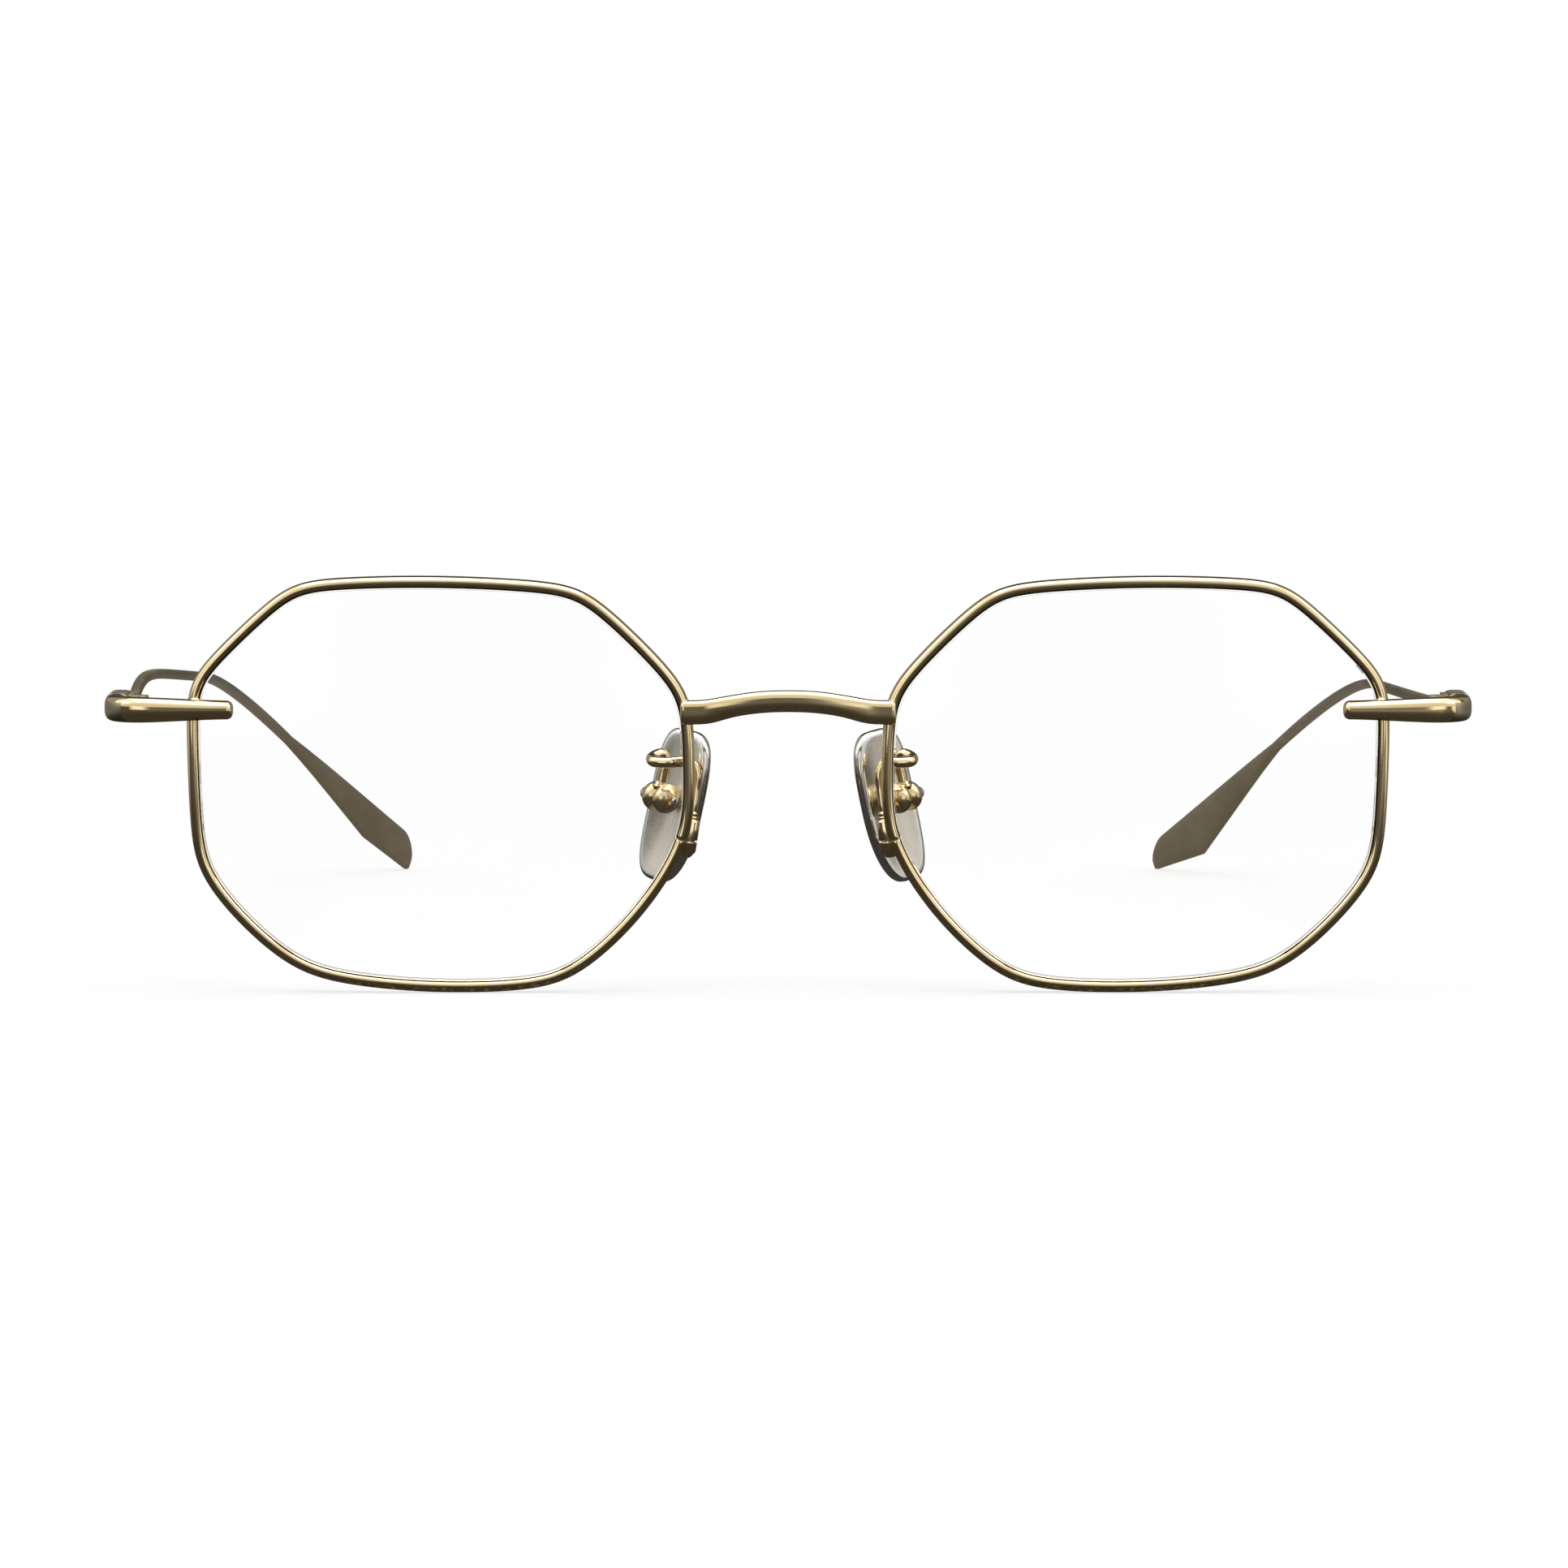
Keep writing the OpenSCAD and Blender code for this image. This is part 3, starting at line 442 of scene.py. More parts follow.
def shader_group(name, numbers, output, kind, build):
    """A shader node group, built once: a vector and some numbers in, one value out."""
    group = bpy.data.node_groups.get(name)
    if group:
        return group
    group = bpy.data.node_groups.new(name, "ShaderNodeTree")
    new_socket = group.interface.new_socket
    new_socket("Vector", in_out="INPUT", socket_type="NodeSocketVector")
    for key, default in numbers.items():
        new_socket(key, in_out="INPUT", socket_type="NodeSocketFloat").default_value = default
    new_socket(output, in_out="OUTPUT", socket_type=kind)
    given = add_node(group, "NodeGroupInput").outputs
    add_node(group, "NodeGroupOutput", {output: build(group, given)})
    return group


def use_group(tree, group, **values):
    return add_node(tree, "ShaderNodeGroup", values, node_tree=group).outputs[0]


def fine_scratches():
    """Hair-fine polishing scratches, in two directions."""

    def build(group, given):
        heights = []
        for turn, seed in ((0.5, 0.0), (-0.9, 3.0)):
            turned_by = (turn, turn * 0.6, seed)
            values = {"Vector": given["Vector"], "Rotation": turned_by, "Scale": (1.0, 14.0, 14.0)}
            stretched = add_node(group, "ShaderNodeMapping", values).outputs[0]
            heights.append(add_range(group, add_noise(group, stretched, given["Scale"], 3.0, 0.6), 0.62, 0.75))
        return add_math(group, "MAXIMUM", *heights)

    return shader_group("Fine scratches", {"Scale": 900.0}, "Scratches", "NodeSocketFloat", build)


def handling_marks():
    """Soft smudges that change how glossy a surface is."""

    def build(group, given):
        broad = add_noise(group, given["Vector"], given["Scale"], 4.0, 0.55)
        fine = add_noise(group, given["Vector"], add_math(group, "MULTIPLY", given["Scale"], 7.0), 2.0)
        broad, fine = add_math(group, "MULTIPLY", broad, 0.7), add_math(group, "MULTIPLY", fine, 0.3)
        return add_range(group, add_math(group, "ADD", broad, fine), 0.35, 0.65)

    return shader_group("Handling marks", {"Scale": 120.0}, "Marks", "NodeSocketFloat", build)


def painted_edge_highlight():
    """Mask of the outer edges, where a painted highlight lightens the metal, broken up by noise."""

    def build(group, given):
        edge = add_node(group, "ShaderNodeNewGeometry").outputs["Pointiness"]
        edge_light = add_range(group, edge, 0.5, given["Reach"])
        return add_math(group, "MULTIPLY", edge_light, add_noise(group, given["Vector"], 700.0, 4.0))

    return shader_group("Painted edge highlight", {"Reach": 0.6}, "Edges", "NodeSocketFloat", build)


def new_material(name):
    material = bpy.data.materials.new(name)
    material.use_nodes = True
    material.node_tree.nodes.clear()
    return material, material.node_tree


def object_place(tree):
    return tree.nodes.new("ShaderNodeTexCoord").outputs["Object"]


def mixed_colour(tree, mask, low, high):
    """Goes from one colour to another by a mask. A colour is a triple or a node's output."""
    low, high = (c if isinstance(c, bpy.types.NodeSocket) else (*c, 1) for c in (low, high))
    mix = add_node(tree, "ShaderNodeMix", {"Factor": mask, "A": low, "B": high}, data_type="RGBA")
    return mix.outputs["Result"]


def mixed_shader(tree, share, first, second):
    values = {0: share, 1: first.outputs[0], 2: second.outputs[0]}
    return add_node(tree, "ShaderNodeMixShader", values).outputs[0]


def plated_metal(name, colour, deep, edge_light, roughness, bump, grain=None):
    """Plated metal: slight changes of colour and gloss, hair-fine scratches and a painted highlight that
    lightens the outer edges.

    The roughness is its lowest and highest, the bump its strength and its height in millimetres, and the
    grain its scale and how far it is stretched each way.
    """
    material = bpy.data.materials.get(name)
    if material:
        return material
    material, tree = new_material(name)
    place = object_place(tree)
    marks = use_group(tree, handling_marks(), Vector=place, Scale=140.0)
    scratches = use_group(tree, fine_scratches(), Vector=place, Scale=800.0)
    # Painted highlight on the outer edges, taken from how sharply the surface bends
    edges = use_group(tree, painted_edge_highlight(), Vector=place, Reach=0.62)
    height = scratches
    if grain:
        scale, stretch = grain
        stretched = add_node(tree, "ShaderNodeMapping", {"Vector": place, "Scale": stretch}).outputs[0]
        slight = add_math(tree, "MULTIPLY", scratches, SCRATCH_BY_GRAIN)
        height = add_math(tree, "ADD", add_noise(tree, stretched, scale, 5.0), slight)
    relief = {"Height": height, "Strength": bump[0], "Distance": bump[1] * MM}
    gloss = add_range(tree, marks, 0.0, 1.0, *roughness)
    dulled = add_math(tree, "MULTIPLY", scratches, SCRATCH_DULLS)
    values = {
        "Base Color": mixed_colour(tree, edges, mixed_colour(tree, marks, deep, colour), edge_light),
        "Metallic": 1.0,
        "Roughness": add_math(tree, "ADD", gloss, dulled),
        "Normal": add_node(tree, "ShaderNodeBump", relief).outputs[0],
    }
    shader = add_node(tree, "ShaderNodeBsdfPrincipled", values)
    add_node(tree, "ShaderNodeOutputMaterial", {"Surface": shader.outputs[0]})
    return material


def tinted(colour, *factors):
    return tuple(min(1, c * f) for c, f in zip(colour, factors))


def bright_gold(name, deep, duller):
    """Gold plating, with the shade of its deeper parts and what comes on top of the gold's roughness."""
    look = bpy.context.scene.eyeglasses_finish
    colour = tuple(look.gold)
    deep, edge_light = tinted(colour, *deep), tinted(colour, *GOLD_EDGE_LIGHT)
    roughness = tuple(look.gold_roughness + d for d in duller)
    return plated_metal(name, colour, deep, edge_light, roughness, PLATING_BUMP)


def polished_gold():
    return bright_gold("finish_polished_gold", (0.94, 0.9, 0.84), (0.0, 0.04))


def soft_gold():
    return bright_gold("finish_soft_gold", (0.92, 0.88, 0.82), (0.14, 0.2))


def satin_metal(name, colour, deep, edge_light, roughness, bump, grain):
    """A matt metal with a fine grain. Deep is its darker shade and the lighter one is a painted highlight on
    its outer edges, both as shares.
    """
    deep, edge_light = tinted(colour, deep, deep, deep), tinted(colour, edge_light, edge_light, edge_light)
    return plated_metal(name, colour, deep, edge_light, roughness, bump, grain)


def satin_gold():
    colour = tuple(bpy.context.scene.eyeglasses_finish.bronze)
    grain = (2600.0, (1.0, 0.35, 1.0))
    # 1.5 is the painted highlight on the outer edges, as a share of the colour
    return satin_metal("finish_satin_gold", colour, 0.85, 1.5, (0.36, 0.46), (0.2, 0.008), grain)


def satin_steel():
    colour = tuple(bpy.context.scene.eyeglasses_finish.steel)
    grain = (3000.0, (1.0, 1.0, 0.3))
    # 1.25 is the painted highlight on the outer edges, as a share of the colour
    return satin_metal("finish_satin_steel", colour, 0.9, 1.25, (0.24, 0.32), (0.16, 0.006), grain)


def bright_steel():
    # The last colour is the painted highlight on the outer edges
    colour, deep, edge_light = (0.80, 0.80, 0.79), (0.74, 0.74, 0.73), (0.9, 0.9, 0.9)
    return plated_metal("finish_bright_steel", colour, deep, edge_light, (0.1, 0.16), PLATING_BUMP)


def clear_lens():
    """Clear polished lens with a breath of dust on it."""
    material = bpy.data.materials.get("finish_clear_lens")
    if material:
        return material
    material, tree = new_material("finish_clear_lens")
    marks = use_group(tree, handling_marks(), Vector=object_place(tree), Scale=45.0)
    values = {
        "Base Color": mixed_colour(tree, marks, (1.0, 1.0, 1.0), (0.993, 0.996, 0.996)),
        "Roughness": 0.0,
        "IOR": 1.2,
        "Transmission Weight": 1.0,
    }
    shader = add_node(tree, "ShaderNodeBsdfPrincipled", values)
    add_node(tree, "ShaderNodeOutputMaterial", {"Surface": shader.outputs[0]})
    return material


# Pieces


def keep(piece, body, slot, *nodes):
    """Ties a finished piece to its body and hides the CAD nodes that it stands for. The slot, naming its
    finish, is not used.
    """
    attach(piece, body)
    if nodes:
        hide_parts(*nodes)


def point_row(row):
    """A row of a sweep drawn in to a point."""
    return (*row[:3], (0, 0, 0, 0), *row[4:])


RIM_PARTS = 540
RIM_SQUARENESS = 2.1
RIM_END_ROUND = 0.06
GROOVE_DEPTH, GROOVE_WIDTH = 0.45, 0.9


def rim_rows(sizes):
    """The rows of a rim wire, once round the lens from one side of the slit to the other."""
    half_t, half_d = sizes.rim_thickness / 2 / MM, sizes.rim_depth / 2 / MM
    gap = math.degrees(sizes.slit_width / MM / 2 / lens_reach(SLIT_AT))
    start, end = SLIT_AT + gap, SLIT_AT + 360 - gap
    reach = (half_t, half_t, half_d, half_d)
    rows = []
    along = 0.0
    previous = None
    for i in range(RIM_PARTS + 1):
        degrees = start + (end - start) * i / RIM_PARTS
        point, normal = lens_point(degrees), lens_normal(degrees)
        middle = point + normal * half_t
        middle = Vector((LENS_X + middle.x, sag(middle.length), LENS_Z + middle.z))
        if previous:
            along += (middle - previous).length
        previous = middle
        rows.append((middle, normal, Vector((0, 1, 0)), reach, RIM_SQUARENESS, along))
    return rows


def closed_ends(rows, rounding):
    """Closes both ends of a sweep with a cap, with its edge rounded off."""

    def cap(row, direction):
        middle, side, up, reach, squareness, along = row
        outer = middle + direction * rounding
        shrunk = tuple(max(r - rounding, 0) for r in reach)
        between = tuple(max(r - rounding * 0.3, 0) for r in reach)
        return [
            (outer, side, up, (0, 0, 0, 0), squareness, along),
            (outer, side, up, shrunk, squareness, along),
            (middle + direction * rounding * 0.7, side, up, between, squareness, along),
        ]

    first = (rows[0][0] - rows[1][0]).normalized()
    last = (rows[-1][0] - rows[-2][0]).normalized()
    return cap(rows[0], first) + rows + cap(rows[-1], last)[::-1]


class EYEGLASSES_OT_rims(bpy.types.Operator):
    """Sweep the two rim wires around the lens outline"""

    bl_idname = "eyeglasses.rims"
    bl_label = "Rims"

    def execute(self, context):
        rows = closed_ends(rim_rows(context.scene.eyeglasses_sizes), RIM_END_ROUND)
        groove = (GROOVE_DEPTH, GROOVE_WIDTH)
        for side in SIDES:
            piece = swept(f"{side}_rim_wire", rows, side, polished_gold(), around=48, groove=groove)
            keep(piece, "front", "polished_gold", f"{side}_rim")
        return {"FINISHED"}


LENS_PARTS = 288
FACE_IN, EDGE_IN, EDGE_ROUND = 0.06, 0.04, 0.08
BEVEL_OUT, BEVEL_HALF = 0.36, 0.37


class EYEGLASSES_OT_lenses(bpy.types.Operator):
    """Make the two lenses: two spherical faces and a bevelled edge that sits in the rim's groove"""

    bl_idname = "eyeglasses.lenses"
    bl_label = "Lenses"

    def execute(self, context):
        sizes = context.scene.eyeglasses_sizes
        half = sizes.lens_thickness / 2 / MM
        half_rim = sizes.rim_thickness / 2 / MM
        turns = [SLIT_AT + 360 * i / LENS_PARTS for i in range(LENS_PARTS)]
        outline = [(lens_point(t), lens_normal(t)) for t in turns]

        def face(share, y):
            ring = []
            for point, normal in outline:
                p = point * share - normal * FACE_IN * (1 if share == 1 else 0)
                ring.append(Vector((LENS_X + p.x, sag(p.length) + y, LENS_Z + p.z)))
            return ring

        def edge(out, y):
            return [
                Vector((LENS_X + p.x + n.x * out, sag((p + n * half_rim).length) + y, LENS_Z + p.z + n.z * out))
                for p, n in outline
            ]

        shares = [0.02] + [0.1 * i for i in range(1, 10)] + [0.95, 0.985]
        rings = [face(s, -half) for s in shares] + [face(1, -half)]
        rings += [edge(-EDGE_IN, -half + EDGE_ROUND), edge(-EDGE_IN, -BEVEL_HALF), edge(BEVEL_OUT, 0.0)]
        rings += [edge(-EDGE_IN, BEVEL_HALF), edge(-EDGE_IN, half - EDGE_ROUND), face(1, half)]
        rings += [face(s, half) for s in reversed(shares)]
        for side in SIDES:
            placed = [[to_frame(p, side) for p in ring] for ring in rings]
            piece = rings_mesh(f"{side}_lens_glass", placed, [clear_lens()], sharp=0.5)
            piece.visible_shadow = False
            keep(piece, "front", "clear_lens", f"{side}_lens")
        return {"FINISHED"}


SEAT = 0.25
BRIDGE_HALF, BRIDGE_RISE, BRIDGE_BOW = 10.8, 1.2, 0.7
BRIDGE_T, BRIDGE_END_H, BRIDGE_MID_H = 1.65, 2.45, 2.2
BRIDGE_SQUARENESS, MIDDLE_ROUNDER = 2.9, 0.6
BRIDGE_END_ROUND, BRIDGE_PARTS = 0.4, 200
BRIDGE_Z = LENS_Z + 7.2
ARCH_HALF, ARCH_SOFT = 8.0, 0.24
BEAD_R, BRIDGE_BEAD_HALF, BAR_BEAD_HALF = 0.42, 0.5, 0.68
# The bridge's beads: in from its end, forward of the rim's front and above the bridge's middle
BRIDGE_BEAD_IN, BRIDGE_BEAD_AHEAD, BRIDGE_BEAD_UP = 0.5, 0.3, 0.95


def front_of_rim(up, nose_side, rim_depth):
    turn = math.degrees(math.asin(up / (REACH_IN if nose_side else REACH_OUT)))
    turn = 180 - turn if nose_side else turn
    return sag(lens_point(turn).length) - rim_depth / 2


def solder_bead(name, side, middle, half_length):
    """A drop of solder, longer from side to side, half sunk in the joint between two wires."""
    turns = [math.radians(-84 + 12 * i) for i in range(15)]
    profile = [(half_length * math.sin(a), BEAD_R * math.cos(a)) for a in turns]
    return turned(name, profile, middle, (1, 0, 0), side, polished_gold(), steps=28, sharp=1.2)


def arch_share(x):
    """How far the bridge has risen: 1 in the middle, 0 beyond the arch."""
    value = 1 - (abs(x) / ARCH_HALF) ** 2.2
    return (value + math.sqrt(value * value + ARCH_SOFT**2)) / 2


class EYEGLASSES_OT_bridge(bpy.types.Operator):
    """Sweep the forged bridge: flat ends over the rims and an arch between them"""

    bl_idname = "eyeglasses.bridge"
    bl_label = "Bridge"

    def execute(self, context):
        rim_y = front_of_rim(BRIDGE_Z - LENS_Z, True, context.scene.eyeglasses_sizes.rim_depth / MM)
        middle_y = rim_y + SEAT - BRIDGE_T / 2

        def middle(x):
            share = arch_share(x)
            return Vector((x, middle_y - BRIDGE_BOW * share, BRIDGE_Z + BRIDGE_RISE * share))

        rows = []
        for i in range(BRIDGE_PARTS + 1):
            x = BRIDGE_HALF * math.sin(math.pi * (i / BRIDGE_PARTS - 0.5))
            along = (middle(x + 0.05) - middle(x - 0.05)).normalized()
            up = Vector((-along.z, 0, along.x)).normalized()
            mid = smooth(1.4 * arch_share(x))
            near_end = max(0, BRIDGE_END_ROUND - (BRIDGE_HALF - abs(x)))
            inset = BRIDGE_END_ROUND - math.sqrt(max(0, BRIDGE_END_ROUND**2 - near_end**2))
            half_t = BRIDGE_T / 2 - inset
            half_h = (BRIDGE_END_H + (BRIDGE_MID_H - BRIDGE_END_H) * mid) / 2 - inset
            reach = (half_t, half_t, half_h, half_h)
            rows.append((middle(x), -up.cross(along), up, reach, BRIDGE_SQUARENESS - MIDDLE_ROUNDER * mid, x))
        rows = [point_row(rows[0])] + rows + [point_row(rows[-1])]
        pieces = [swept("bridge_sweep", rows, "left", polished_gold(), around=64)]
        joint = (BRIDGE_HALF - BRIDGE_BEAD_IN, rim_y - BRIDGE_BEAD_AHEAD, BRIDGE_Z + BRIDGE_BEAD_UP)
        for side in SIDES:
            pieces.append(solder_bead(f"{side}_bridge_bead", side, joint, BRIDGE_BEAD_HALF))
        keep(joined("bridge_forging", pieces), "front", "polished_gold", "bridge")
        return {"FINISHED"}


FRONT_HALF = 68.8
BAR_OVER_LENS = 3.35
BAR_INNER_X = LENS_X + REACH_OUT - BAR_OVER_LENS
BAR_T, BAR_H, BAR_TIP_H = 2.2, 2.6, 1.9
BAR_TIP_R, TIP_FRONT_SHARE, TIP_BACK_SHARE = 0.65, 1.4, 0.4
BAR_SQUARENESS, ARM_SQUARER = 2.2, 0.8
BAR_END_ROUND = 0.12
BEND_RUN, BEND_PARTS = 7.4, 400
LENS_CLEARANCE, CLEARANCE_ENDS = 0.1, 0.3
BAR_BEAD_SINK, BAR_BEAD_AHEAD = 0.15, 0.25
POLISH_TO, POLISH_SLANT = 66.8, 0.45
POLISHED_TOP, TOP_RUN = 0.72, 1.5


class EYEGLASSES_OT_end_pieces(bpy.types.Operator):
    """Sweep the end pieces: a bar over the rim that bends back to the hinge"""

    bl_idname = "eyeglasses.end_pieces"
    bl_label = "End pieces"

    def execute(self, context):
        sizes = context.scene.eyeglasses_sizes
        rim_depth = sizes.rim_depth / MM
        rows = self.bar_rows(sizes.lens_thickness / 2 / MM, rim_depth)
        joint_z = END_Z + BAR_TIP_H / 2 - BAR_BEAD_SINK
        joint_turn = math.degrees(math.asin((joint_z - LENS_Z) / REACH_OUT))
        joint_x = LENS_X + lens_point(joint_turn).x + sizes.rim_thickness / 2 / MM
        joint_y = front_of_rim(joint_z - LENS_Z, False, rim_depth) - BAR_BEAD_AHEAD
        for side in SIDES:
            bar = swept(f"{side}_bar", rows, side, polished_gold(), around=64)
            self.satin_corner(bar.data)
            bead = solder_bead(f"{side}_bar_bead", side, (joint_x, joint_y, joint_z), BAR_BEAD_HALF)
            keep(joined(f"{side}_end_bar", [bar, bead]), "front", "polished_gold", f"{side}_end_piece")
        return {"FINISHED"}

    def bar_rows(self, lens_half, rim_depth):
        """The rows of an end piece: the bar over the rim, the bend and the arm back to the hinge."""
        bar_y = front_of_rim(END_Z - LENS_Z, False, rim_depth) + SEAT - BAR_T / 2
        end_x = FRONT_HALF - BAR_T / 2
        bend = [Vector()]
        for i in range(BEND_PARTS):
            angle = math.pi / 2 * smooth((i + 0.5) / BEND_PARTS)
            bend.append(bend[-1] + BEND_RUN / BEND_PARTS * Vector((math.cos(angle), math.sin(angle), 0)))
        bar_run = end_x - bend[-1].x - BAR_INNER_X
        arm_run = SEAM_BACK - bar_y - bend[-1].y
        total = bar_run + BEND_RUN + arm_run
        rim_edge = LENS_X + lens_point(math.degrees(math.asin((END_Z - LENS_Z) / REACH_OUT))).x - BAR_INNER_X

        def back_reach(s):
            """Short over the lens, which it clears, and half the bar's thickness further out."""
            offset = Vector((BAR_INNER_X + s - LENS_X, 0, END_Z - LENS_Z - BAR_TIP_H / 2))
            over_lens = sag(offset.length) - lens_half - LENS_CLEARANCE - bar_y
            return over_lens + (BAR_T / 2 - over_lens) * smooth((s - rim_edge) / CLEARANCE_ENDS)

        def row(s, shrink=0.0):
            share = (s - bar_run) / BEND_RUN
            if s < bar_run:
                middle = Vector((BAR_INNER_X + s, bar_y, END_Z))
            elif share < 1:
                bent = bend[min(BEND_PARTS, round(share * BEND_PARTS))]
                middle = Vector((BAR_INNER_X + bar_run + bent.x, bar_y + bent.y, END_Z))
            else:
                middle = Vector((end_x, bar_y + bend[-1].y + s - bar_run - BEND_RUN, END_Z))
            turn = math.pi / 2 * smooth(share)
            out = Vector((math.sin(turn), -math.cos(turn), 0))
            half_h = (BAR_TIP_H + (BAR_H - BAR_TIP_H) * smooth(s / (bar_run + BEND_RUN * 0.4))) / 2
            round_in = BAR_TIP_R * (1 - math.sqrt(max(0.0, 1 - (1 - min(1, s / BAR_TIP_R)) ** 2)))
            reach = (
                BAR_T / 2 - TIP_FRONT_SHARE * round_in - shrink,
                back_reach(s) - TIP_BACK_SHARE * round_in - shrink,
                half_h - round_in - shrink,
                half_h - round_in - shrink,
            )
            squareness = BAR_SQUARENESS + ARM_SQUARER * smooth(share)
            return (middle, out, Vector((0, 0, 1)), tuple(max(0, r) for r in reach), squareness, s)

        places = [BAR_TIP_R * (1 - math.cos(math.pi / 2 * i / 14)) for i in range(15)]
        places += [BAR_TIP_R + (bar_run - BAR_TIP_R) * i / 60 for i in range(1, 61)]
        places += [bar_run + BEND_RUN * i / 50 for i in range(1, 51)]
        places += [bar_run + BEND_RUN + (arm_run - BAR_END_ROUND) * i / 10 for i in range(1, 11)]
        rows = [row(s) for s in places]
        for a in (0.5, 1.0, math.pi / 2):
            at = total - BAR_END_ROUND + BAR_END_ROUND * math.sin(a)
            rows.append(row(at, BAR_END_ROUND * (1 - math.cos(a))))
        return [point_row(rows[0])] + rows + [point_row(rows[-1])]

    def satin_corner(self, mesh):
        """Gives the bend the matt finish of the temple.

        The matt part's edge runs inwards low down, and the top stays polished a little further out.
        """
        mesh.materials.append(satin_gold())
        for face in mesh.polygons:
            x, z = abs(face.center.x) / MM, face.center.z / MM - END_Z
            edge = POLISH_TO - POLISH_SLANT * max(0.0, -z) ** 2.5
            top = z > POLISHED_TOP and x < POLISH_TO + TOP_RUN
            if x > edge and not top:
                face.material_index = len(mesh.materials) - 1


HINGE_EDGE, LOCK_SCREW_EDGE = 0.06, 0.05


class EYEGLASSES_OT_hinges(bpy.types.Operator):
    """Round the edges of the hinge leaves and screws"""

    bl_idname = "eyeglasses.hinges"
    bl_label = "Hinges"

    def execute(self, context):
        for side in SIDES:
            for node, body, material, slot in (
                ("hinge_front", "front", satin_gold, "polished_gold"),
                ("hinge_back", f"{side}_temple_body", satin_gold, "satin_gold"),
                ("hinge_screw", "front", polished_gold, "polished_gold"),
            ):
                piece = bevelled_copy(f"{side}_{node}_finished", f"{side}_{node}", HINGE_EDGE, material())
                keep(piece, body, slot, f"{side}_{node}")
        return {"FINISHED"}


TEMPLE_LEN, TEMPLE_PARTS = 132.5, 460
BLOCK_LEN, BLOCK_FULL, BLOCK_EDGE = 8.4, 5.6, 0.15
BLOCK_SQUARENESS, WIRE_SQUARENESS, FLAT_ROUNDER = 4.2, 3.2, 0.4
SEAM_GAP = 0.1
WIRE_IN = 2.1
WIRE_H, WIRE_T, FLATTEN_RUN = 1.05, 1.1, 16
PADDLE_LEN, CUT_LEN, PADDLE_T = 30.5, 10.0, 0.95
PADDLE_REACH = {"right": (3.3, 1.7), "left": (2.6, 3.5)}
TIP_LOW = -0.3
TIP_RUN, TIP_CURVE, TIP_END_ROUND = 3, 3.3, 0.3
BEND_LEN, BEND_DOWN, BEND_IN, LEAN_IN = 57.5, 30.5, 27.0, 1.9
RISE_LEN = 6.0
TEMPLE_BENDS = {"right": (61.0, 3.0), "left": (57.5, -0.5)}
TIP_MARGIN, TIP_LIFT = 0.11, 0.05
PADDLE_AT = TEMPLE_LEN - PADDLE_LEN


def temple_path(side):
    """Middle line of a temple, from its block to its tip, landing on the table."""
    bend_at, rise = TEMPLE_BENDS[side]
    step = (TEMPLE_LEN - TIP_MARGIN) / TEMPLE_PARTS
    point = Vector()
    points = []
    for i in range(TEMPLE_PARTS + 1):
        s = i * step
        points.append(point + Vector((0, 0, rise * (1 - math.exp(-s / RISE_LEN)))))
        share = smooth((s + step / 2 - bend_at) / BEND_LEN)
        lean = math.radians(LEAN_IN + BEND_IN * share)
        drop = math.radians(BEND_DOWN * share)
        point = point + step * Vector(
            (-math.sin(lean) * math.cos(drop), math.cos(lean) * math.cos(drop), -math.sin(drop))
        )
    down = math.radians(BEND_DOWN)
    tip = points[-1] + TIP_LOW * Vector((0, math.sin(down), math.cos(down)))
    tilt = -math.asin((END_Z - TIP_LIFT) / math.hypot(tip.y, tip.z)) - math.atan2(tip.z, tip.y)
    start = Vector((FRONT_HALF - WIRE_IN, SEAM_BACK + SEAM_GAP + BLOCK_LEN, END_Z))
    return [Matrix.Rotation(tilt, 3, "X") @ p + start for p in points]


def upper_half(s, reach):
    d = s - PADDLE_AT
    straight = PADDLE_LEN - TIP_RUN
    if d < 0:
        return WIRE_H / 2
    if d < straight:
        return WIRE_H / 2 + (reach - WIRE_H / 2) * d / straight
    return reach * math.sqrt(1 - ((d - straight) / TIP_CURVE) ** 2)


def lower_half(s, reach):
    d = s - PADDLE_AT
    straight = PADDLE_LEN - CUT_LEN
    if d < 0:
        return WIRE_H / 2
    if d < straight:
        return WIRE_H / 2 + (reach - WIRE_H / 2) * d / straight
    return reach - (reach + TIP_LOW) * (d - straight) / CUT_LEN


